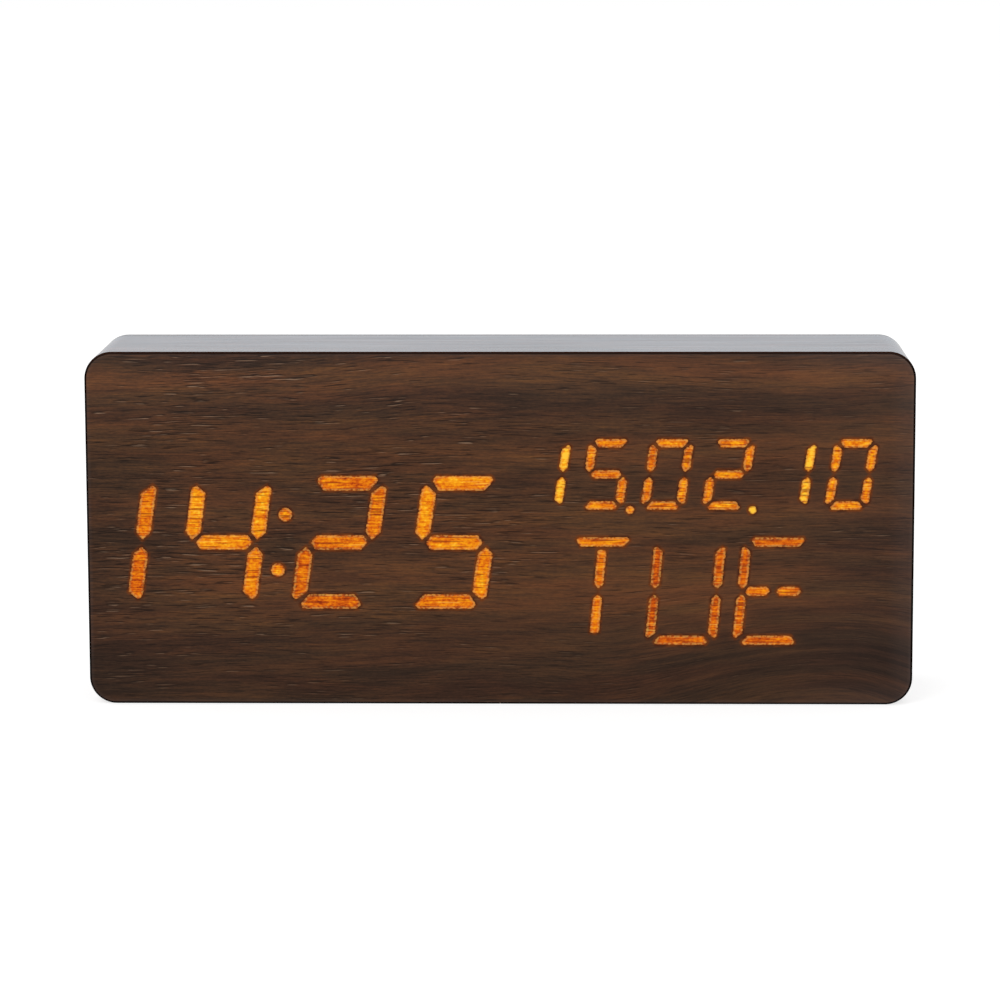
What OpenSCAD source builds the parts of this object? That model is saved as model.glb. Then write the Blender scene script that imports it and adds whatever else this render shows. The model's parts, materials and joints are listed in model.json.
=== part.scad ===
// Digital alarm clock: a wood-wrapped sleeve with lit digits behind a thin veneer,
// and keys, a battery bay and a power socket on a recessed rear cover.
// X runs to the right, Y from the front to the back and Z up.
// The origin lies under the middle of the base, and lengths are millimetres.

/* [Body] */
// Width of the body
body_w = 209; // [190:1:240]
// Height of the body
body_h = 90; // [88:1:110]
// Depth of the body, front to back
body_d = 40; // [39:0.5:60]
// Radius of the four corners, seen from the front
corner_r = 6.8; // [6.2:0.1:10]
// Rounding of the sleeve's front and rear edges
edge_r = 0.4; // [0.3:0.1:1.2]
// Wall of the sleeve
wall = 5; // [4.5:0.1:6]
// Width of the step that the front panel sits in
panel_lap = 1.5; // [1:0.1:2]
// Width of the step that the rear cover sits in
cover_lap = 2; // [1.5:0.1:2.5]
// Side of the square corner blocks that take the cover screws
block_w = 11; // [9:0.5:13]
// Length of the corner blocks
block_l = 20; // [14:0.5:22]

/* [Front] */
// Thickness of the veneer
veneer_t = 0.4; // [0.2:0.05:0.8]
// Thickness of the front panel
panel_t = 3; // [2:0.1:4]
// Width of the panel on each side of its display window
window_side = 7.5; // [6:0.25:12]
// Height of the panel's display window
window_h = 60; // [58:0.5:64]
// Height of the middle of the display window above the base
window_z = 42; // [41:0.5:44]
// Corner radius of the display window
window_r = 3; // [1:0.5:6]
// Thickness of the diffuser film
film_t = 0.3; // [0.1:0.05:0.6]
// Thickness of the light mask behind the panel
mask_t = 4; // [3:0.1:6]

/* [Reading] */
// Time shown, hours and then minutes
shown_time = "1425"; // 4
// Date shown, day, month and year
shown_date = "150210"; // 6
// Weekday shown
shown_day = "TUE"; // [MON, TUE, WED, THU, FRI, SAT, SUN]
// Space between the window's left side and the first digit
reading_left = 2.73; // [1:0.01:6]
// Space between the window's right side and the last digit
reading_right = 1.86; // [1:0.01:6]

/* [Time digits] */
// Distance between a digit's upright bars
time_w = 16.5; // [14:0.1:18]
// Height from a digit's middle bar to its top bar
time_h = 15.15; // [13:0.05:16]
// Thickness of a digit's bars
time_bar = 3.8; // [2.5:0.1:4.2]
// Gap at the ends of the bars that meet half way up
time_gap = 1.05; // [0.8:0.05:1.6]
// Extra length of the upper upright bars towards the middle
time_sag = 0.45; // [0:0.05:0.65]
// Set-back of the bars from a digit's outer corners
time_miter = 0.5; // [0.3:0.05:1]
// Slant of the digits in degrees
time_slant = 8.2; // [0:0.1:12]
// Distance from one digit to the next
time_pitch = 29.1; // [28:0.1:29.6]
// Place of the first digit, which has only its right-hand bars
time_x = -98.8; // [-100:0.1:-97.5]
// Height of the digits' middle bars
time_z = 41.6; // [38:0.1:46]
// Diameter of the two dots between hours and minutes
colon_d = 3.5; // [2:0.1:5]
// Height of the upper dot above the middle bars
colon_h = 7.1; // [5:0.1:10]

/* [Date digits] */
// Distance between a digit's upright bars
date_w = 8.85; // [7.5:0.05:10]
// Height from a digit's middle bar to its top bar
date_h = 7.92; // [6.5:0.02:8.5]
// Thickness of a digit's bars
date_bar = 2.2; // [1.6:0.1:2.5]
// Gap at the ends of the bars that meet half way up
date_gap = 0.55; // [0.5:0.05:1]
// Set-back of the bars from a digit's outer corners
date_miter = 0.35; // [0.25:0.05:0.6]
// Slant of the digits in degrees
date_slant = 8.4; // [0:0.1:12]
// Distance from one digit to the next
date_pitch = 15.42; // [14.6:0.02:15.6]
// Place of the first digit
date_x = 11.45; // [10.5:0.05:13]
// Height of the digits' middle bars
date_z = 59.05; // [58:0.05:61]
// Diameter of the dots between day, month and year
point_d = 2.1; // [1.5:0.1:2.4]
// Distance of a dot to the right of its digit's middle
point_x = 6.05; // [5.8:0.05:6.8]
// Distance of a dot below the middle bars
point_drop = 9; // [7:0.1:9.5]

/* [Weekday letters] */
// Distance between a letter's upright bars
day_w = 15.75; // [14:0.05:18]
// Height from a letter's middle bars to its top bar
day_h = 12.6; // [10:0.1:13]
// Thickness of a letter's bars
day_bar = 2.4; // [1.8:0.1:2.8]
// Gap at the ends of the bars
day_gap = 0.75; // [0.65:0.05:1.3]
// Extra length of the upper upright bars towards the middle
day_sag = 0.2; // [0:0.05:0.45]
// Set-back of the bars from a letter's outer corners
day_miter = 1.1; // [0.5:0.05:1.4]
// Set-back of the lower upright bars from a letter's lower corners
day_low_miter = 0.5; // [0.4:0.05:1.4]
// Slant of the letters in degrees
day_slant = 5.3; // [0:0.1:9]
// Distance from one letter to the next
day_pitch = 22.1; // [21:0.1:24]
// Place of the first letter
day_x = 24.9; // [24:0.1:28]
// Height of the letters' middle bars
day_z = 29.2; // [28:0.1:31]

/* [Circuit boards] */
// Thickness of the circuit boards
board_t = 1.6; // [1:0.1:2]
// Side of the square lamp in each segment well
lamp_w = 1.2; // [0.8:0.1:1.4]
// Height of a lamp above its board
lamp_t = 0.7; // [0.4:0.1:1]
// Width of the control board
control_w = 66; // [62:1:72]
// Height of the control board
control_h = 48; // [46:1:54]
// Place of the middle of the control board, left of the middle of the body
control_x = -48; // [-54:0.5:-46]
// Height of the middle of the control board above the base
control_z = 43; // [40:0.5:47]
// Distance from the rear cover to the control board
control_gap = 7.5; // [7:0.1:9]
// Diameter of the boards' screws
small_screw_d = 2; // [1.6:0.1:2.5]
// Length of the control board's screws below the head
small_screw_l = 5; // [4:0.1:6]
// Width of the flat cable between the boards
ribbon_w = 10; // [6:0.5:12]
// Thickness of the flat cable
ribbon_t = 0.9; // [0.5:0.1:1.2]
// Height of the flat cable's plugs
plug_h = 5; // [3.5:0.1:5.5]

/* [Rear cover] */
// Thickness of the rear cover
cover_t = 3; // [2.8:0.1:4]
// Depth of the cover below the sleeve's rear edge
cover_recess = 1.5; // [1.4:0.1:3]
// Diameter of the cover screws
screw_d = 2.6; // [2:0.1:3]
// Length of the cover screws below the head
screw_l = 10; // [7:0.5:12]
// Diameter of the cover screws' heads
screw_head_d = 5.2; // [4.4:0.1:6]
// Height of the cover screws' heads
screw_head_h = 1.4; // [1:0.1:1.6]

/* [Keys and sockets] */
// Diameter of the keys
key_d = 9; // [6:0.5:12]
// Distance from one key to the next
key_pitch = 22; // [18:0.5:23]
// Height of the row of keys above the middle of the control board
key_up = 11; // [9:0.5:13]
// Distance that a key stands out of the cover
key_out = 1.2; // [0.8:0.1:1.3]
// Travel of a key
key_travel = 0.5; // [0.2:0.05:0.6]
// Total height of a push switch on its board
switch_h = 5; // [4.6:0.1:5.4]
// Diameter of a push switch's plunger
plunger_d = 3.5; // [2.5:0.1:4]
// Diameter of the power socket's mouth
socket_bore = 3.6; // [2.5:0.1:4]
// Diameter of the power socket's centre pin
socket_pin_d = 1.3; // [0.8:0.1:1.5]
// Diameter of the buzzer's can
buzzer_d = 12; // [9:0.5:13]
// Height of the buzzer's can
buzzer_h = 7; // [4:0.5:7]
// Diameter of the microphone capsule
mic_d = 6; // [4:0.5:9]

/* [Battery bay] */
// Diameter of a battery
cell_d = 10.5; // [9.5:0.1:10.6]
// Length of a battery with its button
cell_l = 44.5; // [40:0.1:46]
// Distance from one battery to the next
cell_pitch = 11.3; // [10.8:0.1:12]
// Place of the middle of the bay, right of the middle of the body
bay_x = 46; // [40:0.5:50]
// Height of the middle of the bay above the base
bay_z = 45; // [40:0.5:48]
// Wall of the bay
bay_wall = 1.5; // [1:0.1:2]
// Length of a contact spring with its battery in place
spring_l = 4; // [3.4:0.1:5]
// Diameter of a contact spring at the middle of its wire
spring_d = 6; // [4:0.1:7]
// Turns of a contact spring
spring_turns = 3; // [2:1:3]
// Diameter of the spring wire
spring_wire = 0.5; // [0.3:0.05:0.6]
// Thickness of the battery door
door_t = 1.8; // [1.4:0.1:2]
// Overlap of the door over the rim of the bay
door_lap = 2.5; // [2:0.1:4]
// Radius of the door's hinge barrel
hinge_r = 1.2; // [1.1:0.05:1.3]
// Radius of the door's hinge pins
pin_r = 0.7; // [0.5:0.05:0.8]
// Length of the door's hinge pins in the cover
pin_l = 1.5; // [1:0.1:2.5]

/* [Hidden] */
$fn = 64;

// Clearances
glue_gap = 0.1;
fit_gap = 0.2;
board_gap = 0.5;
slide_gap = 0.1;
run_gap = 0.05;
hole_gap = 0.2;
door_gap = 0.25;
seat_gap = 0.1;
cut = 1;

// Angles of a quarter turn
quarter = [0:15:90];

// Depths of the layers, from the front to the back
front_y = -body_d / 2;
back_y = body_d / 2;
veneer_y = front_y + veneer_t;
film_y = veneer_y + film_t;
panel_y = veneer_y + panel_t;
mask_y = panel_y + mask_t;
board_y = mask_y + board_t;
cover_out = back_y - cover_recess;
cover_in = cover_out - cover_t;
control_rear = cover_in - control_gap;
control_front = control_rear - board_t;

// Display window, and the inside of the sleeve
window_w = body_w - 2 * window_side;
cavity_w = body_w - 2 * wall;
cavity_h = body_h - 2 * wall;
cavity_r = corner_r - wall;
mid_z = body_h / 2;
block_bite = 0.5;
block_x = cavity_w / 2 - block_w / 2;
block_z = cavity_h / 2 - block_w / 2;
pilot_tip = 2;

// Shape of the lit bars
tip_taper = 0.75;
mid_taper = 1;
flat_taper = 0.2;
tip_share = 0.2;
seven_names = "abcdefg";
half_names = "bc";
star_names = "abcdefghilpqrs";
digit_bars = ["abcdef", "bc", "abdeg", "abcdg", "bcfg",
              "acdfg", "acdefg", "abc", "abcdefg", "abcdfg"];
letter_names = "ADEFHIMNORSTUW";
letter_bars = ["abcefgh", "abcdil", "adefgh", "aefgh", "bcefgh", "adil", "bcefpq", "bcefps", "abcdef",
               "abefghs", "acdfgh", "ail", "bcdef", "bcefrs"];

// Screws
slot_w = 0.7;
slot_share = 0.7;
slot_depth = 0.7;
small_head_d = 2 * small_screw_d;
small_head_h = 1.4;
small_tip = 0.5;
counterbore = 1;
board_screw_inset = 5;
board_screw_l = board_t + mask_t - 2 * small_tip;
board_screw_x = cavity_w / 2 - board_screw_inset;
board_screw_z = cavity_h / 2 - board_screw_inset;
boss_wall = 2;
boss_d = small_screw_d + 2 * boss_wall;
boss_inset = 3.5;
boss_x = control_w / 2 - boss_inset;
boss_z = control_h / 2 - boss_inset;

// Keys and their switches
key_z = control_z + key_up;
flange_t = 1;
flange_lip = 1;
stem_d = 4;
mark_depth = 0.3;
mark_share = 0.26;
dot_share = 0.12;
mark_r = mark_share * key_d;
dot_r = dot_share * key_d;
switch_w = 6;
switch_body_h = 3.5;
plunger_depth = 1.2;
plunger_room = 0.3;
plunger_top = control_rear + switch_h;

// Parts of the control board behind the lower half of the cover
low_drop = 14;
low_z = control_z - low_drop;
socket_x = control_x - key_pitch;
socket_w = 8;
nose_wall = 1.6;
nose_d = socket_bore + 2 * nose_wall;
nose_drop = 0.3;
socket_floor = 1.5;
socket_pin_drop = 1.7;
mic_side = 4;
mic_x = control_x - mic_side;
mic_h = 5;
mic_hole = 1.6;
sensor_side = 7;
sensor_x = control_x + sensor_side;
sensor_d = 2.6;
sensor_h = 5;
sensor_leg = 0.5;
sensor_pitch = 1.3;
vent_w = 1.2;
vent_l = 7;
vent_pitch = 2.6;
vent_round = 0.45;
buzzer_side = 20;
buzzer_x = control_x + buzzer_side;
buzzer_hole = 1.8;
buzzer_ring = 3.6;

// Flat cable between the boards
ribbon_side = 18;
ribbon_drop = 5;
ribbon_lift = 7;
ribbon_x = control_x + ribbon_side;
ribbon_low_z = control_z - ribbon_drop;
ribbon_high_z = control_z + ribbon_lift;
ribbon_bend = 2;
plug_side = 1;
plug_w = ribbon_w + 2 * plug_side;
plug_d = 5;

// Parts on the rear of the main board
coin_x = -65;
coin_d = 20;
coin_t = 3.2;
coin_wall = 2;
coin_floor = 1.2;
chip_w = 7.5;
chip_l = 17.9;
chip_t = 2.3;
leg_w = 0.45;
leg_l = 1.3;
leg_t = 0.3;
leg_pitch = 1.27;
leg_count = 14;
controller_x = 4;
controller_z = mid_z;
driver_x = [32, 62];
crystal_d = 3;
crystal_h = 8;
crystal_side = 12;
crystal_x = controller_x - crystal_side;
capacitor_d = 6.3;
capacitor_h = 11;
capacitor_up = 20;
capacitor_x = crystal_x;
capacitor_z = mid_z + capacitor_up;

// Battery bay, with the hinge of its door at the end away from the keys
plate_t = 0.4;
plate_w = 9;
nub_d = 3.8;
nub_l = 0.8;
cell_room = 0.8;
cell_side = 0.4;
door_in = cover_out - door_t;
cell_y = door_in - cell_room - cell_d / 2;
bay_floor = cell_y - cell_d / 2 - seat_gap;
bay_out = bay_floor - bay_wall;
bay_l = cell_l + spring_l + 2 * plate_t;
bay_h = 2 * cell_pitch + cell_d + 2 * cell_side;
bay_x0 = bay_x - bay_l / 2;
bay_x1 = bay_x + bay_l / 2;
door_h = bay_h + 2 * door_lap;
door_x0 = bay_x0 - door_lap;
hinge_x = bay_x1 + bay_wall + hinge_r + door_gap;
hinge_y = cover_out - hinge_r;
hinge_bar = 1.2;
pin_end = 0.2;
rib_w = 1;
rib_l = 16;
rib_t = 0.4;
rib_start = 3.3;
rib_pitch = 2.2;
rib_count = 3;
notch_r = 7;
notch_depth = 1.2;
spring_rings = 8;
spring_sides = 6;

// Leads from the bay to the control board
lead_d = 1.2;
lead_sides = 8;
lead_steps = 4;
lead_hole = lead_d + 2 * hole_gap;
pad_inset = 4;
pad_drop = 3;
pad_lift = 5;
lead_pad_x = control_x + control_w / 2 - pad_inset;
lead_clear = 2;
lead_low = bay_out - lead_clear;
positive_z = bay_z - cell_pitch;
negative_z = bay_z + cell_pitch;
positive_pad_z = control_z - pad_drop;
negative_pad_z = control_z + pad_lift;
positive_route = [[bay_x0, cell_y, positive_z], [bay_x0 - 3, cell_y, positive_z],
                  [bay_x0 - 6, cell_y, positive_z], [bay_x0 - 14, cell_y + 1, positive_z + 2],
                  [lead_pad_x + 8, control_rear + 6, positive_pad_z - 1],
                  [lead_pad_x + 2, control_rear + 5, positive_pad_z],
                  [lead_pad_x, control_rear + 3, positive_pad_z],
                  [lead_pad_x, control_rear + 1.5, positive_pad_z],
                  [lead_pad_x, control_rear, positive_pad_z]];
negative_route = [[bay_x1, cell_y, negative_z], [bay_x1 + 1.5, cell_y, negative_z],
                  [bay_x1 + 3, cell_y, negative_z], [bay_x1 + 5, cell_y - 2.5, negative_z],
                  [bay_x1 + 4.5, lead_low + 2, negative_z], [bay_x1 + 1, lead_low, negative_z],
                  [bay_x, lead_low, negative_z - 1], [bay_x0, lead_low, negative_z - 3],
                  [lead_pad_x + 9, lead_low - 1, negative_pad_z + 1],
                  [lead_pad_x + 2, lead_low - 0.5, negative_pad_z],
                  [lead_pad_x, control_front - 3, negative_pad_z],
                  [lead_pad_x, control_front - 1.5, negative_pad_z],
                  [lead_pad_x, control_front, negative_pad_z]];

// Bars and letters

// A level bar from u0 to u1 at height v, with both tips moved by o towards the outside
function level_bar(u0, u1, v, t, o) =
    let (up = tip_taper * (t / 2 - o), down = tip_taper * (t / 2 + o))
    [[u0, v + o], [u0 + down, v - t / 2], [u1 - down, v - t / 2],
     [u1, v + o], [u1 - up, v + t / 2], [u0 + up, v + t / 2]];

// An upright bar from v0 to v1 at place u, with its tips moved by o0 and o1 and tapered by k0 and k1
function upright_bar(u, v0, v1, t, o0, o1, k0, k1) =
    [[u + o0, v0], [u + t / 2, v0 + k0 * (t / 2 - o0)], [u + t / 2, v1 - k1 * (t / 2 - o1)],
     [u + o1, v1], [u - t / 2, v1 - k1 * (t / 2 + o1)], [u - t / 2, v0 + k0 * (t / 2 + o0)]];

// A slanted bar in the quarter given by the signs sx and sz
function cross_bar(w, h, t, g, sx, sz) =
    let (x0 = t / 2 + g, x1 = w / 2 - t / 2 - g, z0 = t / 2 + g, z1 = h - t / 2 - g,
         corners = [[sx * x0, sz * z0], [sx * (x0 + t), sz * z0],
                    [sx * x1, sz * z1], [sx * (x1 - t), sz * z1]])
    sx * sz > 0 ? corners : [corners[3], corners[2], corners[1], corners[0]];

// The six bars round a cell, in the order of their names a to f; low sets its lower uprights back, and its
// upper uprights reach by sag nearer to the middle
function frame_bars(w, h, t, g, m, low, sag) =
    let (o = tip_share * t)
    [level_bar(m - w / 2, w / 2 - m, h, t, o),
     upright_bar(w / 2, g - sag, h - m, t, 0, o, mid_taper, tip_taper),
     upright_bar(w / 2, low - h, -g, t, o, 0, tip_taper, mid_taper),
     level_bar(m - w / 2, w / 2 - m, -h, t, -o),
     upright_bar(-w / 2, low - h, -g, t, -o, 0, tip_taper, mid_taper),
     upright_bar(-w / 2, g - sag, h - m, t, 0, -o, mid_taper, tip_taper)];

// Seven bars of a digit, and fourteen bars of a letter
function digit_cell(w, h, t, g, m, sag = 0) =
    concat(frame_bars(w, h, t, g, m, m, sag), [level_bar(g - w / 2, w / 2 - g, 0, t, 0)]);
function letter_cell(w, h, t, g, m, low, sag) =
    concat(frame_bars(w, h, t, g, m, low, sag),
           [level_bar(g - w / 2, -g, 0, t, 0), level_bar(g, w / 2 - g, 0, t, 0),
            upright_bar(0, g - sag, h - t / 2 - g, t, 0, 0, mid_taper, flat_taper),
            upright_bar(0, t / 2 + low - h, -g, t, 0, 0, flat_taper, mid_taper),
            cross_bar(w, h, t, g, -1, 1), cross_bar(w, h, t, g, 1, 1),
            cross_bar(w, h, t, g, -1, -1), cross_bar(w, h, t, g, 1, -1)]);

// The named bars of a cell, slanted and moved to the cell's place
function picked(cell, names, wanted, slant, at) =
    [for (c = wanted) for (i = search(c, names)) [for (p = cell[i]) at + [p.x + p.y * tan(slant), p.y]]];

// Bars that the cell at place i has, and those of them that its sign lights
function time_names(i) = i == 0 ? half_names : seven_names;
function shared(wanted, names) = [for (c = wanted) if (len(search(c, names)) > 0) c];
function digit_at(text, i) = digit_bars[ord(text[i]) - ord("0")];
function letter_at(text, i) = letter_bars[search(text[i], letter_names)[0]];
function time_at(i) = [time_x + i * time_pitch, time_z];
function date_at(i) = [date_x + i * date_pitch, date_z];
function day_at(i) = [day_x + i * day_pitch, day_z];

time_cell = digit_cell(time_w, time_h, time_bar, time_gap, time_miter, time_sag);
date_cell = digit_cell(date_w, date_h, date_bar, date_gap, date_miter);
day_cell = letter_cell(day_w, day_h, day_bar, day_gap, day_miter, day_low_miter, day_sag);
time_drawn = [for (i = [0:3]) each picked(time_cell, seven_names,
              shared(digit_at(shown_time, i), time_names(i)), time_slant, time_at(i))];
date_drawn = [for (i = [0:5]) each picked(date_cell, seven_names,
              digit_at(shown_date, i), date_slant, date_at(i))];
day_drawn = [for (i = [0:2]) each picked(day_cell, star_names,
             letter_at(shown_day, i), day_slant, day_at(i))];
all_drawn = concat([for (i = [0:3]) each picked(time_cell, seven_names,
                    time_names(i), time_slant, time_at(i))],
                   [for (i = [0:5]) each picked(date_cell, seven_names,
                    seven_names, date_slant, date_at(i))],
                   [for (i = [0:2]) each picked(day_cell, star_names,
                    star_names, day_slant, day_at(i))]);

// The drawn reading is spread across the window, between the spaces at its two sides
drawn_x = [for (bar = all_drawn) for (p = bar) p.x];
drawn_left = min(drawn_x);
spread = (window_w - reading_left - reading_right) / (max(drawn_x) - drawn_left);
function placed(p) = [reading_left - window_w / 2 + (p.x - drawn_left) * spread, p.y];
function placed_bars(bars) = [for (bar = bars) [for (p = bar) placed(p)]];
time_lit = placed_bars(time_drawn);
date_lit = placed_bars(date_drawn);
day_lit = placed_bars(day_drawn);
all_bars = placed_bars(all_drawn);
colon_dots = [for (s = [-1, 1])
              placed((time_at(1) + time_at(2)) / 2 + s * colon_h * [tan(time_slant), 1])];
date_dots = [for (i = [1, 3]) placed(date_at(i) + [point_x, -point_drop])];

// Tubes swept along routes

function middle(points) = [for (k = [0:len(points[0]) - 1]) sum([for (p = points) p[k]]) / len(points)];
function sum(v, i = 0) = i < len(v) ? v[i] + sum(v, i + 1) : 0;
function unit(v) = v / norm(v);
function heading(path, i) = unit(path[min(i + 1, len(path) - 1)] - path[max(i - 1, 0)]);
function level_off(v, t) = unit(v - (v * t) * t);
function side_normals(path, i, n) =
    i >= len(path) ? [] :
    let (turned = level_off(n, heading(path, i))) concat([turned], side_normals(path, i + 1, turned));

// A smooth curve through the route's points, with n steps from one to the next
function smooth(route, n) =
    let (last = len(route) - 1)
    concat([for (i = [0:last - 1]) for (k = [0:n - 1])
            let (u = k / n, a = route[max(i - 1, 0)], b = route[i],
                 c = route[i + 1], d = route[min(i + 2, last)])
            b + (c - a) / 2 * u + (a - 2.5 * b + 2 * c - d / 2) * u * u
            + (1.5 * b - a / 2 - 1.5 * c + d / 2) * u * u * u],
           [route[last]]);

// Points of a spring of the given length, rising along Z
function spring_path(l, d, turns, wire) =
    [for (k = [0:turns * spring_rings])
     let (a = 360 * k / spring_rings, rise = wire / 2 + run_gap)
     [d / 2 * cos(a), d / 2 * sin(a), rise + (l - 2 * rise) * k / (turns * spring_rings)]];

// Least gap between one turn of the wire and the next
function own_gap(path, wire) =
    let (last = len(path) - 1)
    min([for (i = [0:last]) for (j = [i + spring_rings / 2:last]) norm(path[i] - path[j])]) - wire;

contact_path = spring_path(spring_l, spring_d, spring_turns, spring_wire);
echo(contact_spring_gap = own_gap(contact_path, spring_wire));

// A closed tube of the given diameter along a path, whose first side looks about along the given way
module tube(path, d, sides, side_way = [0.31, 0.23, 0.92]) {
    normals = side_normals(path, 0, level_off(side_way, heading(path, 0)));
    rings = len(path);
    points = concat([for (i = [0:rings - 1]) for (k = [0:sides - 1])
                     let (t = heading(path, i), a = 360 * k / sides)
                     path[i] + d / 2 * (cos(a) * normals[i] + sin(a) * cross(t, normals[i]))],
                    [path[0], path[rings - 1]]);
    start = rings * sides;
    walls = [for (i = [0:rings - 2]) for (k = [0:sides - 1])
             let (a = i * sides + k, b = i * sides + (k + 1) % sides)
             each [[a, a + sides, b + sides], [a, b + sides, b]]];
    ends = [for (k = [0:sides - 1]) let (n = (k + 1) % sides, last = (rings - 1) * sides)
            each [[start, k, n], [start + 1, last + n, last + k]]];
    polyhedron(points, concat(walls, ends));
}

// Shared shapes

// An outline in X and Z, made solid from depth y0 to depth y1
module slab(y0, y1) {
    translate([0, y1, 0]) rotate([90, 0, 0]) linear_extrude(y1 - y0) children();
}

// A shape along Z, stood along Y from the point x, y, z
module facing_back(x, y, z) {
    translate([x, y, z]) rotate([-90, 0, 0]) children();
}

// A rod along Y
module rod(x, z, y0, y1, d) {
    facing_back(x, y0, z) cylinder(d = d, h = y1 - y0);
}

module round_rect(w, h, r) {
    square([w - 2 * r, h], center = true);
    square([w, h - 2 * r], center = true);
    for (sx = [-1, 1], sz = [-1, 1]) {
        translate([sx * (w / 2 - r), sz * (h / 2 - r)]) circle(r);
    }
}

// A wall's section, measured out from the middle of the corner, carried round a rounded rectangle
module carried_round(w, h, r) {
    for (k = [0:3]) {
        across = k % 2 == 0 ? w : h;
        along = k % 2 == 0 ? h : w;
        rotate([0, 0, 90 * k]) {
            translate([across / 2 - r, along / 2 - r, 0]) rotate_extrude(angle = 90) children();
            translate([across / 2 - r, 0, 0]) rotate([90, 0, 0])
                linear_extrude(along - 2 * r, center = true) children();
        }
    }
}

// A quarter turn of the rounded edge, from angle a0
function edge_arc(x, y, a0) = [for (a = quarter) [x + edge_r * cos(a0 + a), y + edge_r * sin(a0 + a)]];

module outlines(bars) {
    for (b = bars) {
        polygon(b);
    }
}

module dots(places, d) {
    for (p = places) {
        translate(p) circle(d = d);
    }
}

// A pan-head screw with a cross slot, its head on the side of +Z
module screw(d, l, head_d, head_h) {
    translate([0, 0, -l]) cylinder(d = d, h = l);
    difference() {
        cylinder(d = head_d, h = head_h);
        for (a = [0, 90]) {
            rotate([0, 0, a]) translate([0, 0, head_h])
                cube([slot_share * head_d, slot_w, 2 * slot_depth], center = true);
        }
    }
}

// The four corners at the given distances from the middle x, z
module four_corners(x, z, dx, dz) {
    for (sx = [-1, 1], sz = [-1, 1]) {
        translate([x + sx * dx, 0, z + sz * dz]) children();
    }
}

// Body

// Section of the sleeve's wall, with the rear edge below and the steps for the cover and the panel
module sleeve_section() {
    polygon(concat([[cavity_r + cover_lap, -back_y]],
                   edge_arc(corner_r - edge_r, edge_r - back_y, -90),
                   edge_arc(corner_r - edge_r, -veneer_y - edge_r, 0),
                   [[cavity_r + panel_lap, -veneer_y], [cavity_r + panel_lap, -panel_y], [cavity_r, -panel_y],
                    [cavity_r, -cover_in], [cavity_r + cover_lap, -cover_in]]));
}

module casing() {
    color("dimgray") difference() {
        union() {
            translate([0, 0, mid_z]) rotate([90, 0, 0])
                carried_round(body_w, body_h, corner_r) sleeve_section();
            four_corners(0, mid_z, block_x + block_bite / 2, block_z + block_bite / 2)
                translate([0, cover_in - block_l / 2, 0])
                    cube([block_w + block_bite, block_l, block_w + block_bite], center = true);
        }
        four_corners(0, mid_z, block_x, block_z)
            rod(0, 0, cover_out - counterbore - screw_l - pilot_tip, cover_in + cut, screw_d + 2 * run_gap);
    }
}

// Outline of the sleeve's inside, made larger by the given amount on every side
module cavity_plate(more) {
    translate([0, mid_z]) round_rect(cavity_w + 2 * more, cavity_h + 2 * more, cavity_r + more);
}

module front_panel() {
    color("saddlebrown") slab(veneer_y, panel_y) difference() {
        cavity_plate(panel_lap - glue_gap);
        translate([0, window_z]) round_rect(window_w, window_h, window_r);
    }
}

module front_veneer() {
    color("#43302a") slab(front_y, veneer_y) difference() {
        translate([0, mid_z]) round_rect(body_w - 2 * edge_r, body_h - 2 * edge_r, corner_r - edge_r);
        outlines(concat(time_lit, date_lit, day_lit));
        dots(colon_dots, colon_d);
        dots(date_dots, point_d);
    }
}

module time_digits() {
    color("orange") slab(front_y, veneer_y) {
        outlines(time_lit);
        dots(colon_dots, colon_d);
    }
}

module date_digits() {
    color("orange") slab(front_y, veneer_y) {
        outlines(date_lit);
        dots(date_dots, point_d);
    }
}

module weekday_letters() {
    color("darkorange") slab(front_y, veneer_y) outlines(day_lit);
}

module window_fill(gap) {
    translate([0, window_z]) round_rect(window_w - 2 * gap, window_h - 2 * gap, window_r - gap);
}

module diffuser_film() {
    color("white") slab(veneer_y, film_y) window_fill(fit_gap);
}

module display_mask() {
    color("whitesmoke") difference() {
        union() {
            slab(film_y, panel_y) window_fill(fit_gap);
            slab(panel_y, mask_y) cavity_plate(-fit_gap);
        }
        slab(film_y - cut, mask_y + cut) {
            outlines(all_bars);
            dots(colon_dots, colon_d);
            dots(date_dots, point_d);
        }
        four_corners(0, mid_z, board_screw_x, board_screw_z)
            rod(0, 0, board_y - board_screw_l - small_tip, mask_y + cut, small_screw_d + 2 * run_gap);
    }
}

module segment_lamps() {
    color("gold") for (p = concat([for (b = all_bars) middle(b)], colon_dots, date_dots)) {
        translate([p.x, mask_y - lamp_t / 2, p.y]) cube([lamp_w, lamp_t, lamp_w], center = true);
    }
}

// Main board

module main_board() {
    color("darkgreen") difference() {
        slab(mask_y, board_y) translate([0, mid_z])
            square([cavity_w - 2 * board_gap, cavity_h - 2 * board_gap], center = true);
        four_corners(0, mid_z, board_screw_x, board_screw_z)
            rod(0, 0, mask_y - cut, board_y + cut, small_screw_d + 2 * hole_gap);
    }
}

module main_board_screws() {
    color("silver") four_corners(0, mid_z, board_screw_x, board_screw_z)
        facing_back(0, board_y, 0) screw(small_screw_d, board_screw_l, small_head_d, small_head_h);
}

// A chip with a row of legs down to the board on both sides
module chip(x, z) {
    translate([x, board_y, z]) {
        translate([0, leg_t + chip_t / 2, 0]) cube([chip_l, chip_t, chip_w], center = true);
        for (i = [0:leg_count - 1], s = [-1, 1]) {
            translate([(i - (leg_count - 1) / 2) * leg_pitch, 0, s * (chip_w / 2 + leg_l / 2)]) {
                translate([-leg_w / 2, 0, -leg_l / 2]) cube([leg_w, leg_t, leg_l]);
                translate([-leg_w / 2, 0, -s * leg_l / 2 - leg_t / 2])
                    cube([leg_w, leg_t + chip_t / 2, leg_t]);
            }
        }
    }
}

module controller_chip() {
    color("black") chip(controller_x, controller_z);
}

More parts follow.
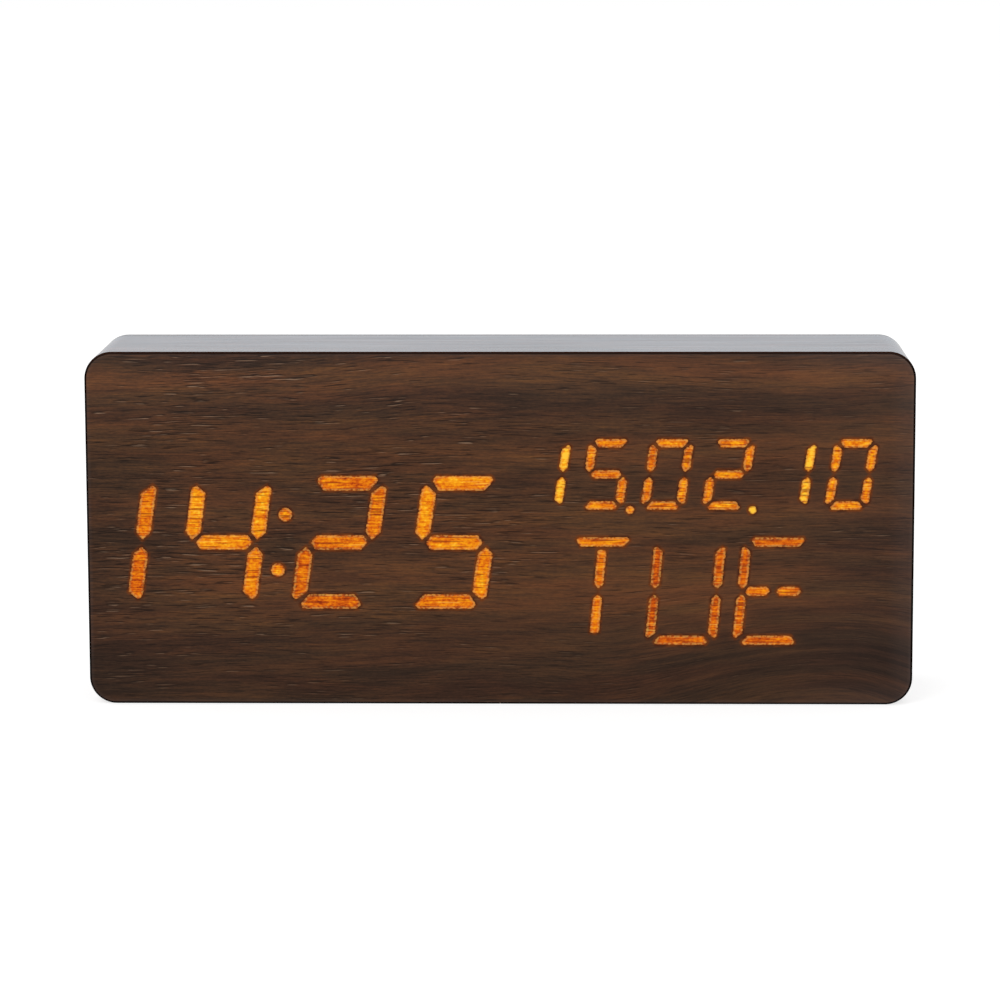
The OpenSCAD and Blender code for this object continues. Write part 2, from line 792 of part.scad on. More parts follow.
module driver_chips() {
    color("black") for (x = driver_x) {
        chip(x, mid_z);
    }
}

module clock_crystal() {
    color("silver") rod(crystal_x, mid_z, board_y, board_y + crystal_h, crystal_d);
}

module capacitor() {
    color("navy") rod(capacitor_x, capacitor_z, board_y, board_y + capacitor_h, capacitor_d);
}

module coin_cell_holder() {
    color("black") difference() {
        rod(coin_x, mid_z, board_y, board_y + coin_floor + coin_t, coin_d + 2 * coin_wall);
        rod(coin_x, mid_z, board_y + coin_floor, board_y + coin_floor + coin_t + cut, coin_d + 2 * fit_gap);
    }
}

module coin_cell() {
    color("silver") rod(coin_x, mid_z, board_y + coin_floor, board_y + coin_floor + coin_t, coin_d);
}

// Rear cover

module sound_holes() {
    circle(d = buzzer_hole);
    for (a = [0:60:300]) {
        rotate(a) translate([buzzer_ring, 0]) circle(d = buzzer_hole);
    }
}

module cover_holes() {
    for (i = [-1:1]) {
        translate([control_x + i * key_pitch, key_z]) circle(d = key_d + 2 * slide_gap);
        translate([sensor_x + i * vent_pitch, low_z]) round_rect(vent_w, vent_l, vent_round * vent_w);
    }
    translate([socket_x, low_z]) circle(d = nose_d + 2 * fit_gap);
    translate([mic_x, low_z]) circle(d = mic_hole);
    translate([buzzer_x, low_z]) sound_holes();
}

// Room for the door and its hinge barrel
module door_recess() {
    slab(door_in - seat_gap, cover_out + cut) translate([(door_x0 - door_gap + hinge_x) / 2, bay_z])
        square([hinge_x - door_x0 + door_gap, door_h + 2 * door_gap], center = true);
    slab(hinge_y, cover_out + cut) translate([hinge_x + (hinge_r + door_gap) / 2, bay_z])
        square([hinge_r + door_gap, door_h + 2 * door_gap], center = true);
    translate([hinge_x, hinge_y, bay_z])
        cylinder(r = hinge_r + door_gap, h = door_h + 2 * door_gap, center = true);
    translate([hinge_x, hinge_y, bay_z])
        cylinder(r = pin_r + run_gap, h = door_h + 2 * (door_gap + pin_l), center = true);
    facing_back(door_x0 - door_gap, cover_out - notch_depth, bay_z)
        cylinder(r = notch_r, h = notch_depth + cut);
}

module rear_cover() {
    color("#241e1c") difference() {
        union() {
            slab(cover_in, cover_out) difference() {
                cavity_plate(cover_lap - fit_gap);
                cover_holes();
            }
            slab(bay_out, cover_in + cut) translate([bay_x, bay_z])
                square([bay_l + 2 * bay_wall, bay_h + 2 * bay_wall], center = true);
            slab(cover_in - hinge_bar, cover_in + cut) translate([hinge_x, bay_z])
                square(2 * [hinge_r + door_gap + bay_wall, door_h / 2 + pin_l + bay_wall], center = true);
            four_corners(control_x, control_z, boss_x, boss_z)
                rod(0, 0, control_rear, cover_in + cut, boss_d);
        }
        slab(bay_floor, cover_out + cut) translate([bay_x, bay_z]) square([bay_l, bay_h], center = true);
        door_recess();
        for (end = [[bay_x0, positive_z, -1], [bay_x1, negative_z, 1]]) {
            translate([end.x, cell_y, end.y]) rotate([0, 90 * end.z, 0]) translate([0, 0, -cut])
                cylinder(d = lead_hole, h = bay_wall + 2 * cut);
        }
        four_corners(0, mid_z, block_x, block_z) {
            rod(0, 0, cover_in - cut, cover_out + cut, screw_d + 2 * hole_gap);
            rod(0, 0, cover_out - counterbore, cover_out + cut, screw_head_d + 2 * hole_gap);
        }
        four_corners(control_x, control_z, boss_x, boss_z)
            rod(0, 0, control_rear - cut, control_front + small_screw_l + small_tip,
                small_screw_d + 2 * run_gap);
    }
}

module rear_cover_screws() {
    color("dimgray") four_corners(0, mid_z, block_x, block_z)
        facing_back(0, cover_out - counterbore, 0) screw(screw_d, screw_l, screw_head_d, screw_head_h);
}

module battery_door() {
    color("#241e1c") {
        slab(door_in, cover_out) translate([(door_x0 + hinge_x) / 2, bay_z])
            square([hinge_x - door_x0, door_h], center = true);
        translate([hinge_x, hinge_y, bay_z]) cylinder(r = hinge_r, h = door_h, center = true);
        translate([hinge_x, hinge_y, bay_z])
            cylinder(r = pin_r, h = door_h + 2 * (door_gap + pin_l - pin_end), center = true);
        for (i = [0:rib_count - 1]) {
            slab(cover_out - rib_t, cover_out + rib_t)
                translate([door_x0 + rib_start + i * rib_pitch, bay_z]) square([rib_w, rib_l], center = true);
        }
    }
}

// Batteries and their contacts

// Turns a shape that points to +X round for every other battery
module cell_place(i) {
    flip = i % 2;
    translate([flip ? bay_x1 : bay_x0, cell_y, bay_z + (i - 1) * cell_pitch])
        rotate([0, 0, 180 * flip]) children();
}

module battery(i) {
    cell_place(i) rotate([0, 90, 0]) {
        translate([0, 0, plate_t]) cylinder(d = nub_d, h = nub_l + seat_gap);
        translate([0, 0, plate_t + nub_l]) cylinder(d = cell_d, h = cell_l - nub_l);
    }
}

module battery_1() {
    color("seagreen") battery(0);
}

module battery_2() {
    color("seagreen") battery(1);
}

module battery_3() {
    color("seagreen") battery(2);
}

module battery_springs() {
    color("silver") for (i = [0:2]) {
        cell_place(i) translate([plate_t + cell_l, 0, 0]) rotate([0, 90, 0])
            tube(contact_path, spring_wire, spring_sides);
    }
}

// Contact plates against the ends of the bay: one for a lead and one that joins two batteries at each end
module battery_plates() {
    far = bay_x1 - plate_t;
    color("silver") for (end = [[bay_x0, 0, 1], [far, 2, 1], [bay_x0, 1.5, 2], [far, 0.5, 2]]) {
        span = plate_w + (end.z - 1) * cell_pitch;
        translate([end.x, cell_y - plate_w / 2, bay_z + (end.y - 1) * cell_pitch - span / 2])
            cube([plate_t, plate_w, span]);
    }
}

module positive_lead() {
    color("red") tube(smooth(positive_route, lead_steps), lead_d, lead_sides);
}

module negative_lead() {
    color("black") tube(smooth(negative_route, lead_steps), lead_d, lead_sides);
}

// Control board and what it carries

module control_board() {
    color("darkgreen") difference() {
        slab(control_front, control_rear) translate([control_x, control_z])
            square([control_w, control_h], center = true);
        four_corners(control_x, control_z, boss_x, boss_z)
            rod(0, 0, control_front - cut, control_rear + cut, small_screw_d + 2 * hole_gap);
    }
}

module control_board_screws() {
    color("silver") four_corners(control_x, control_z, boss_x, boss_z)
        translate([0, control_front, 0]) rotate([90, 0, 0])
            screw(small_screw_d, small_screw_l, small_head_d, small_head_h);
}

// A key with its flange behind the cover and its stem down to the switch; the child is its mark
module key(i) {
    x = control_x + i * key_pitch;
    flange_top = cover_in - slide_gap;
    difference() {
        union() {
            rod(x, key_z, flange_top - flange_t, cover_out + key_out, key_d);
            rod(x, key_z, flange_top - flange_t, flange_top, key_d + 2 * flange_lip);
            rod(x, key_z, plunger_top, flange_top, stem_d);
        }
        slab(cover_out + key_out - mark_depth, cover_out + key_out + cut) translate([x, key_z]) children();
    }
}

module arrow(s) {
    polygon([for (a = [90, 210, 330]) mark_r * [cos(a), s * sin(a)]]);
}

module set_button() {
    color("#2e2825") key(-1) circle(dot_r);
}

module up_button() {
    color("#2e2825") key(0) arrow(1);
}

module down_button() {
    color("#2e2825") key(1) arrow(-1);
}

module switch_bodies() {
    color("dimgray") for (i = [-1:1]) {
        x = control_x + i * key_pitch;
        top = control_rear + switch_body_h;
        difference() {
            translate([x, control_rear + switch_body_h / 2, key_z])
                cube([switch_w, switch_body_h, switch_w], center = true);
            rod(x, key_z, top - plunger_depth - key_travel - plunger_room, top + cut,
                plunger_d + 2 * run_gap);
        }
    }
}

module plunger(i) {
    bottom = control_rear + switch_body_h - plunger_depth;
    rod(control_x + i * key_pitch, key_z, bottom, plunger_top, plunger_d);
}

module set_plunger() {
    color("ivory") plunger(-1);
}

module up_plunger() {
    color("ivory") plunger(0);
}

module down_plunger() {
    color("ivory") plunger(1);
}

module power_socket() {
    color("black") difference() {
        union() {
            translate([socket_x, (control_rear + cover_in - fit_gap) / 2, low_z])
                cube([socket_w, control_gap - fit_gap, socket_w], center = true);
            rod(socket_x, low_z, control_rear, cover_out - nose_drop, nose_d);
        }
        rod(socket_x, low_z, control_rear + socket_floor, cover_out + cut, socket_bore);
    }
}

module socket_pin() {
    color("silver")
        rod(socket_x, low_z, control_rear + socket_floor, cover_out - socket_pin_drop, socket_pin_d);
}

module buzzer() {
    color("black") difference() {
        rod(buzzer_x, low_z, control_rear, control_rear + buzzer_h, buzzer_d);
        rod(buzzer_x, low_z, control_rear + buzzer_h - cut, control_rear + buzzer_h + cut, buzzer_hole);
    }
}

module microphone() {
    color("silver") rod(mic_x, low_z, control_rear, control_rear + mic_h, mic_d);
}

module temperature_sensor() {
    color("peru") {
        translate([sensor_x, control_rear + sensor_h, low_z]) sphere(d = sensor_d);
        for (s = [-1, 1]) {
            rod(sensor_x + s * sensor_pitch / 2, low_z, control_rear, control_rear + sensor_h, sensor_leg);
        }
    }
}

// A flat cable that steps up from the plug on the main board to the plug on the control board
module ribbon_cable() {
    y0 = board_y + plug_h;
    y1 = control_front - plug_h;
    rise = ribbon_high_z - ribbon_low_z;
    run = (y1 - y0) / 2 - ribbon_bend;
    low = [y0 + run, ribbon_low_z + ribbon_bend];
    high = [y1 - run, ribbon_high_z - ribbon_bend];
    inner = ribbon_bend - ribbon_t / 2;
    outer = ribbon_bend + ribbon_t / 2;
    lower_side = concat([[y0, ribbon_low_z - ribbon_t / 2]],
                        [for (a = quarter) low + outer * [sin(a), -cos(a)]],
                        [for (a = quarter) high + inner * [-cos(a), sin(a)]],
                        [[y1, ribbon_high_z - ribbon_t / 2]]);
    upper_side = concat([[y1, ribbon_high_z + ribbon_t / 2]],
                        [for (a = quarter) high + outer * [-sin(a), cos(a)]],
                        [for (a = quarter) low + inner * [cos(a), -sin(a)]],
                        [[y0, ribbon_low_z + ribbon_t / 2]]);
    color("lightgray") translate([ribbon_x - ribbon_w / 2, 0, 0]) rotate([90, 0, 90]) linear_extrude(ribbon_w)
        polygon(concat(lower_side, upper_side));
}

module ribbon_plugs() {
    color("white") for (end = [[board_y, ribbon_low_z], [control_front - plug_h, ribbon_high_z]]) {
        translate([ribbon_x - plug_w / 2, end.x, end.y - plug_d / 2]) cube([plug_w, plug_h, plug_d]);
    }
}

casing();
front_panel();
front_veneer();
time_digits();
date_digits();
weekday_letters();
diffuser_film();
display_mask();
segment_lamps();
main_board();
main_board_screws();
controller_chip();
driver_chips();
clock_crystal();
capacitor();
coin_cell_holder();
coin_cell();
rear_cover();
rear_cover_screws();
battery_door();
battery_1();
battery_2();
battery_3();
battery_springs();
battery_plates();
positive_lead();
negative_lead();
control_board();
control_board_screws();
set_button();
up_button();
down_button();
switch_bodies();
set_plunger();
up_plunger();
down_plunger();
power_socket();
socket_pin();
buzzer();
microphone();
temperature_sensor();
ribbon_cable();
ribbon_plugs();
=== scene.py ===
"""Looks of a digital alarm clock: a dark walnut block whose time, date and weekday glow through its veneer.

Sizes in the classes are millimetres, and pieces become metres when they are placed. X runs to the right,
Y from the front to the back and Z up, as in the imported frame.
"""

import json
import logging
import math
from dataclasses import dataclass, field
from enum import Enum
from functools import reduce
from typing import Protocol

import bmesh
import bpy
import numpy as np
from mathutils import Matrix, Vector

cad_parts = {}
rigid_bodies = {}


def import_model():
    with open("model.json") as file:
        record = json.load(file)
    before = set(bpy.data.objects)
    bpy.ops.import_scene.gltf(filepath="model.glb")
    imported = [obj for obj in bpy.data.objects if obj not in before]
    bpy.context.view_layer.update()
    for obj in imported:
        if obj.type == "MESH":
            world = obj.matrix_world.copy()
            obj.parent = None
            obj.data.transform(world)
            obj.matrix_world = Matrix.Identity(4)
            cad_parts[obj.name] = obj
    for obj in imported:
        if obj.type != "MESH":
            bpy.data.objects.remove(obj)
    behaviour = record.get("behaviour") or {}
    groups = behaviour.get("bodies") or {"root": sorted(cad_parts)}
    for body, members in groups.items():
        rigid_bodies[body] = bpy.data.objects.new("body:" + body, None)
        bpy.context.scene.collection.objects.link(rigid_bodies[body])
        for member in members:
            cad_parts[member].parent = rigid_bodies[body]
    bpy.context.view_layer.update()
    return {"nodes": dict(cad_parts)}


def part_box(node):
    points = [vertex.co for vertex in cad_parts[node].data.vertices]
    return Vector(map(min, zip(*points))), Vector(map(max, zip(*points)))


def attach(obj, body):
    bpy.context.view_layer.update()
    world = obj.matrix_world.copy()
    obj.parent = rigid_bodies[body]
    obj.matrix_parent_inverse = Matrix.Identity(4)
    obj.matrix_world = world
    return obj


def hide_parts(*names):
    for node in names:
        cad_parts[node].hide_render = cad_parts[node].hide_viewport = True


for leftover in list(bpy.data.objects):
    bpy.data.objects.remove(leftover)
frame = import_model()

LOG = logging.getLogger("clock")
MM = 0.001
BODY = "clock_body"
SMOOTH_ANGLE = math.radians(35)
SAME_POINT = 0.0005
CORNER = 6.8
FAR = 99.0
RIGHT_ANGLE = math.pi / 2
NOISE_STRIDE = (3.7, 5.3, 7.1)
ALONG_Y = np.array([0.0, 1.0, 0.0])
UP = np.array([0.0, 0.0, 1.0])

Colour = tuple[float, float, float, float]
Stops = tuple[tuple[float, Colour], ...]
Triple = tuple[float, float, float]
Span = tuple[float, float]
Place = bpy.types.NodeSocket

BLACK: Colour = (0.0, 0.0, 0.0, 1.0)
WHITE: Colour = (1.0, 1.0, 1.0, 1.0)


def shade(red: int, green: int, blue: int) -> Colour:
    """Turns a colour as it is seen on a screen, from 0 to 255, into linear light.

    Args:
        red: Share of red.
        green: Share of green.
        blue: Share of blue.

    Returns:
        The linear colour with full alpha.
    """
    seen = np.array([red, green, blue]) / 255
    light = np.where(seen <= 0.04045, seen / 12.92, ((seen + 0.055) / 1.055) ** 2.4)
    return (*light.tolist(), 1.0)


def box_mm(node: str) -> tuple[np.ndarray, np.ndarray]:
    """Gives a CAD node's lowest and highest corners in millimetres."""
    low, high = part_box(node)
    return np.array(low) / MM, np.array(high) / MM


# Shader expressions


@dataclass(frozen=True)
class Layer:
    """Cloudy noise: size of its clouds along X, Y and Z, finer layers, its own number and its weight.

    Its span is where the noise turns from 0 to 1 when it is drawn as soft-edged spots.
    """

    sizes: Triple
    detail: float
    draw: int
    weight: float = 1.0
    span: Span = (0.0, 1.0)


@dataclass(frozen=True)
class Slope:
    """A smooth change from one level to another between two places. Outside them the level holds."""

    low: float
    high: float
    start: float = 0.0
    end: float = 1.0


@dataclass(frozen=True)
class Band:
    """A soft band: its middle, reach to both sides, weight, and the share of the reach that is full."""

    middle: float
    reach: float
    weight: float = 1.0
    core: float = 0.0


class Value:
    """A number on a shader socket. Arithmetic on it adds Math nodes."""

    def __init__(self, paint: "Paint", socket: Place) -> None:
        """Keeps the socket and the paint that it belongs to."""
        self.paint = paint
        self.socket = socket

    def __add__(self, other: "Value | float") -> "Value":
        """Adds a value or a number."""
        return self.paint.maths("ADD", self, other)

    def __sub__(self, other: "Value | float") -> "Value":
        """Takes a value or a number away."""
        return self.paint.maths("SUBTRACT", self, other)

    def __rsub__(self, other: float) -> "Value":
        """Takes this value away from a number."""
        return self.paint.maths("SUBTRACT", other, self)

    def __mul__(self, other: "Value | float") -> "Value":
        """Multiplies by a value or a number."""
        return self.paint.maths("MULTIPLY", self, other)

    __radd__ = __add__
    __rmul__ = __mul__

    def slope(self, slope: Slope, unit_size: float = 1.0) -> "Value":
        """Gives the level of a slope where the value is the place on it.

        Args:
            slope: The slope.
            unit_size: Size of the unit that the slope's places are in.

        Returns:
            The level.
        """
        sockets = {"Value": self, "From Min": slope.low * unit_size, "From Max": slope.high * unit_size,
                   "To Min": slope.start, "To Max": slope.end}
        made = self.paint.node("ShaderNodeMapRange", {"interpolation_type": "SMOOTHSTEP"}, sockets)
        return Value(self.paint, made.outputs["Result"])

    def slope_mm(self, slope: Slope) -> "Value":
        """Gives the level of a slope whose places are in millimetres."""
        return self.slope(slope, MM)

    def band_mm(self, band: Band) -> "Value":
        """Gives the weight of a band whose middle and reach are in millimetres, 0 outside it."""
        away = self.paint.maths("ABSOLUTE", self - band.middle * MM)
        return away.slope_mm(Slope(band.core * band.reach, band.reach, band.weight, 0.0))


class Paint:
    """The node tree of one material, or of the world."""

    def __init__(self, name: str, world: bool = False) -> None:
        """Starts an empty tree.

        Args:
            name: Name of the material or world.
            world: Makes a world in place of a material.
        """
        self.owner = bpy.data.worlds.new(name) if world else bpy.data.materials.new(name)
        self.owner.use_nodes = True
        self.tree = self.owner.node_tree
        self.tree.nodes.clear()

    def node(self, kind: str, settings: dict | None = None, sockets: dict | None = None) -> bpy.types.Node:
        """Adds a node.

        Args:
            kind: Blender's type of the node.
            settings: Properties of the node, set first; "stops" holds a ramp's places and colours.
            sockets: Values or links of its inputs, by name or number.

        Returns:
            The node.
        """
        made = self.tree.nodes.new(kind)
        for key, setting in (settings or {}).items():
            if key == "stops":
                self.set_stops(made.color_ramp, setting)
            else:
                setattr(made, key, setting)
        for key, value in (sockets or {}).items():
            source = value.socket if isinstance(value, Value) else value
            if isinstance(source, Place):
                self.tree.links.new(source, made.inputs[key])
            else:
                made.inputs[key].default_value = source
        return made

    def set_stops(self, ramp: bpy.types.ColorRamp, stops: Stops) -> None:
        """Gives a ramp its stops.

        Args:
            ramp: The ramp of a node.
            stops: Place and colour of each stop, in order.
        """
        while len(ramp.elements) < len(stops):
            ramp.elements.new(1.0)
        for element, (place, colour) in zip(ramp.elements, stops):
            element.position = place
            element.color = colour

    def maths(self, operation: str, *terms: "Value | float") -> Value:
        """Adds a Math node on the terms."""
        made = self.node("ShaderNodeMath", {"operation": operation}, dict(enumerate(terms)))
        return Value(self, made.outputs[0])

    def object_place(self) -> Place:
        """Gives Object coordinates, in metres."""
        return self.node("ShaderNodeTexCoord").outputs["Object"]

    def attribute(self, name: str) -> Value:
        """Reads a number that the piece's mesh carries."""
        return Value(self, self.node("ShaderNodeAttribute", {"attribute_name": name}).outputs["Fac"])

    def attribute_place(self, name: str) -> Place:
        """Reads a vector that the piece's mesh carries."""
        return self.node("ShaderNodeAttribute", {"attribute_name": name}).outputs["Vector"]

    def split(self, place: Place) -> tuple[Value, Value, Value]:
        """Gives the three numbers of a vector."""
        parts = self.node("ShaderNodeSeparateXYZ", {}, {"Vector": place}).outputs
        return Value(self, parts["X"]), Value(self, parts["Y"]), Value(self, parts["Z"])

    def join(self, x: "Value | float", y: "Value | float", z: "Value | float") -> Place:
        """Makes a vector of three numbers."""
        return self.node("ShaderNodeCombineXYZ", {}, {"X": x, "Y": y, "Z": z}).outputs["Vector"]

    def noise(self, place: Place, layer: Layer, slip: float = 0.0) -> Value:
        """Adds a layer of noise, moved by a stride for each number so that two layers differ.

        Args:
            place: Coordinates in metres.
            layer: Sizes, detail and number of the noise.
            slip: Millimetres that the pattern is moved down along Y.

        Returns:
            The noise, from 0 to 1.
        """
        x, y, z = (stride * layer.draw for stride in NOISE_STRIDE)
        scale = tuple(1 / (size * MM) for size in layer.sizes)
        sockets = {"Vector": place, "Location": (x, y + slip / layer.sizes[1], z), "Scale": scale}
        moved = self.node("ShaderNodeMapping", {"vector_type": "POINT"}, sockets).outputs["Vector"]
        made = self.node("ShaderNodeTexNoise", {}, {"Vector": moved, "Scale": 1.0, "Detail": layer.detail})
        return Value(self, made.outputs["Fac"])

    def sway(self, place: Place, *layers: Layer) -> Value:
        """Adds up layers of noise, each swinging about 0 by half its weight."""
        return reduce(Value.__add__, [(self.noise(place, layer) - 0.5) * layer.weight for layer in layers])

    def spots(self, place: Place, layer: Layer) -> Value:
        """Draws a layer of noise as spots with soft edges."""
        return self.noise(place, layer).slope(Slope(*layer.span))

    def ramp(self, value: Value, stops: Stops) -> Place:
        """Colours a value by a row of stops."""
        return self.node("ShaderNodeValToRGB", {"stops": stops}, {"Fac": value}).outputs["Color"]

    def mix(self, share: "Value | float", first: Place | Colour, second: Place | Colour) -> Place:
        """Blends two colours by a share of the second."""
        sockets = {0: share, 6: first, 7: second}
        return self.node("ShaderNodeMix", {"data_type": "RGBA"}, sockets).outputs[2]

    def bump(self, height: Value, depth: float, strength: float, edge: float = 0.0) -> Place:
        """Turns a height into a tilt of the surface.

        Args:
            height: Height from 0 to 1.
            depth: Depth of the relief in millimetres.
            strength: Share of the tilt that is used.
            edge: Radius in millimetres by which sharp edges look softened.

        Returns:
            The normal.
        """
        sockets = {"Height": height, "Distance": depth * MM, "Strength": strength}
        if edge:
            bevel = self.node("ShaderNodeBevel", {"samples": 6}, {"Radius": edge * MM})
            sockets["Normal"] = bevel.outputs["Normal"]
        return self.node("ShaderNodeBump", {}, sockets).outputs["Normal"]

    def surface(self, **sockets: object) -> bpy.types.Material:
        """Ends the tree in a Principled BSDF.

        Args:
            **sockets: Inputs of the shader, with _ in place of a space.

        Returns:
            The finished material.
        """
        named = {key.replace("_", " "): value for key, value in sockets.items()}
        shader = self.node("ShaderNodeBsdfPrincipled", {}, named)
        self.node("ShaderNodeOutputMaterial", {}, {"Surface": shader.outputs["BSDF"]})
        return self.owner


# Finishes


class Finish(Protocol):
    """Anything that builds a material."""

    def material(self) -> bpy.types.Material:
        """Builds the material."""


class GrainPlace(Enum):
    """Where a wood finish takes its grain's direction from."""

    FACE = "along X on a flat front"
    WRAP = "round the block, from the film's own lengths"


@dataclass(frozen=True)
class Patch:
    """A soft-edged part of the front: a slope along X times a slope up Z, both in millimetres."""

    along: Slope
    height: Slope

    def level(self, along: Value, height: Value) -> Value:
        """Gives the patch's level at a place."""
        return along.slope_mm(self.along) * height.slope_mm(self.height)


@dataclass(frozen=True)
class Walnut:
    """Dark walnut: growth bands, fine fibres, and short dark pores with painted shade above and a painted
    highlight below.
    """

    name: str
    place: GrainPlace
    gloss: float = 0.0
    shine: float = 0.08
    dull: float = 0.5
    coat_dull: float = 0.2
    wander: Layer = Layer((95, 34, 1), 1.5, 1, 5 * MM)
    ripple: Layer = Layer((20, 8, 1), 1, 2, 0.5 * MM)
    bends: tuple[Patch, ...] = (
        Patch(Slope(-100, -10, 4 * MM, 0), Slope(50, 82)),
        Patch(Slope(22, 84, 0, -10 * MM), Slope(8, 44, 1, 0)),
        Patch(Slope(86, 125, 0, 10 * MM), Slope(8, 44, 1, 0)))
    fading: Patch = Patch(Slope(-60, 90, 1, 0.72), Slope(-5, 45, 0.7, 1))
    mean_tone: float = 0.44
    growth: Layer = Layer((150, 6.5, 1), 2, 3, 0.42)
    clouds: Layer = Layer((24, 4, 1), 3, 12, 0.45)
    fibres: Layer = Layer((30, 1.1, 1), 2, 4, 0.3)
    hairs: Layer = Layer((6, 0.34, 1), 1, 5, 0.66)
    dust: Layer = Layer((1.1, 0.3, 1), 1, 8, 0.36)
    arcs: Layer = Layer((150, 2.4, 1), 1, 15, 0.55)
    arcs_patch: Patch = Patch(Slope(25, 65), Slope(22, 42, 1, 0))
    ends: tuple[Patch, ...] = (
        Patch(Slope(-104, -72, 1, 0), Slope(55, 80, -0.14, 0.06)),
        Patch(Slope(74, 100), Slope(40, 70, -0.1, 0)))
    heart: tuple[Band, Band] = (Band(32, 72, 0.11, 0.1), Band(33, 32, core=0.1))
    crowd: Layer = Layer((30, 9, 1), 1, 6, 0.1, (0.32, 0.68))
    pore: Layer = Layer((6.2, 0.3, 1), 1, 7)
    pore_highlight_slip: float = 0.3
    pore_edge: Slope = Slope(0.62, 0.73)
    pore_highlight_edge: Slope = Slope(0.72, 0.8)
    pore_share: float = 0.8
    pore_highlight_share: float = 0.52
    pore_highlight_breaks: Layer = Layer((9, 1.6, 1), 0, 9, span=(0.42, 0.58))
    hue: Layer = Layer((42, 6, 1), 2, 10, span=(0.35, 0.65))
    wear: Layer = Layer((5, 5, 5), 3, 11, 0.4, (0.3, 0.7))
    haze: Layer = Layer((45, 1, 3), 2, 13, 0.4)
    painted_glow_spots: Layer = Layer((2.6, 2.6, 1.4), 1, 14, span=(0.35, 0.65))
    wear_and_sheen_edge: Slope = Slope(0, 1, 0.07, 0)
    sheen_side: Slope = Slope(0, 9, 0.08, 0)
    sheen_right: Slope = Slope(60, 104)
    sheen_top: Slope = Slope(62, 88, 0, 0.03)
    painted_glow_reach: Slope = Slope(0.05, 0.85, 0.9, 0)
    spread: Slope = Slope(0, 4, 1, 0)
    film_highlight_band: Slope = Slope(0.6, 2.4, 0.4, 0)
    film_rear: Slope = Slope(35, 38, 0, -0.25)
    bands: tuple[Band, ...] = (
        Band(91.0, 3.5, -0.08), Band(84.5, 4.5, 0.19), Band(77.0, 4.5, -0.11), Band(66.0, 5.0, 0.08),
        Band(50.0, 6.0, 0.06), Band(29.0, 11.0, 0.12), Band(7.0, 17.0, -0.15))
    stops: tuple[float, ...] = (0.0, 0.28, 0.52, 0.78, 1.0)
    ruddy: tuple[Colour, ...] = (
        shade(40, 27, 20), shade(61, 40, 29), shade(84, 53, 35), shade(108, 66, 40), shade(132, 83, 49))
    tawny: tuple[Colour, ...] = (
        shade(38, 27, 21), shade(58, 41, 30), shade(80, 54, 36), shade(106, 69, 40), shade(130, 88, 50))
    pore_dark_and_shade: Colour = shade(28, 20, 16)
    pore_highlight: Colour = shade(164, 132, 106)
    wear_and_sheen_grey: Colour = shade(124, 112, 110)
    film_highlight_grey: Colour = shade(150, 138, 128)
    painted_glow_dim: Colour = shade(64, 25, 7)
    painted_glow_bright: Colour = shade(113, 54, 13)
    rim: Colour = shade(12, 5, 3)
    light: Colour = (0.011, 0.0026, 0.0003, 1.0)

    def grain(self, paint: Paint) -> Place:
        """Gives coordinates with X along the grain and Y across it, bent as the fibres wander.

        On the front the grain also dips at the upper left and rises in an arch at the lower right.

        Args:
            paint: The material's nodes.

        Returns:
            The coordinates in metres.
        """
        on_front = self.place is GrainPlace.FACE
        along, _, across = paint.split(paint.object_place() if on_front else paint.attribute_place("wrap"))
        flat = paint.join(along, across, 0.0)
        bent = across + paint.sway(flat, self.wander, self.ripple)
        if on_front:
            bent = reduce(Value.__add__, [patch.level(along, across) for patch in self.bends], bent)
        return paint.join(along, bent, 0.0)

    def liveliness(self, paint: Paint, grain: Place) -> Value | float:
        """Gives the strength of the fine grain: on the front it fades to the right and downwards.

        Args:
            paint: The material's nodes.
            grain: Coordinates along and across the grain.

        Returns:
            The strength, at most 1.
        """
        if self.place is GrainPlace.WRAP:
            return 1.0
        along, across, _ = paint.split(grain)
        return self.fading.level(along, across)

    def tone(self, paint: Paint, grain: Place) -> Value:
        """Gives the warmth of the wood: layers of noise, and on the front its own bands, ends and arcs.

        Args:
            paint: The material's nodes.
            grain: Coordinates along and across the grain.

        Returns:
            The warmth, from dark at 0 to warm at 1.
        """
        fine = paint.sway(grain, self.hairs, self.dust) * self.liveliness(paint, grain)
        tone = self.mean_tone + paint.sway(grain, self.growth, self.clouds, self.fibres) + fine
        if self.place is GrainPlace.FACE:
            along, height, _ = paint.split(grain)
            shifts = [height.band_mm(band) for band in self.bands]
            shifts += [patch.level(along, height) for patch in self.ends]
            shifts.append(along.band_mm(self.heart[0]) * height.band_mm(self.heart[1]))
            shifts.append(paint.sway(grain, self.arcs) * self.arcs_patch.level(along, height))
            tone = reduce(Value.__add__, shifts, tone)
        return tone

    def pores(self, paint: Paint, grain: Place) -> tuple[Value, Value]:
        """Draws pores: the peaks of a fine noise, each dark with painted shade above, and the strongest of
        them with a painted highlight below.

        Args:
            paint: The material's nodes.
            grain: Coordinates along and across the grain.

        Returns:
            The dark share, pore and painted shade, and the share of the painted highlight.
        """
        lively = self.liveliness(paint, grain)
        crowd = paint.spots(grain, self.crowd) * lively * self.crowd.weight
        dark = (paint.noise(grain, self.pore) + crowd).slope(self.pore_edge)
        # The pale share is a painted highlight: the same noise moved down, on each pore's lower edge.
        pale = (paint.noise(grain, self.pore, self.pore_highlight_slip) + crowd).slope(self.pore_highlight_edge)
        return dark * lively, pale * paint.spots(grain, self.pore_highlight_breaks) * lively * lively * lively

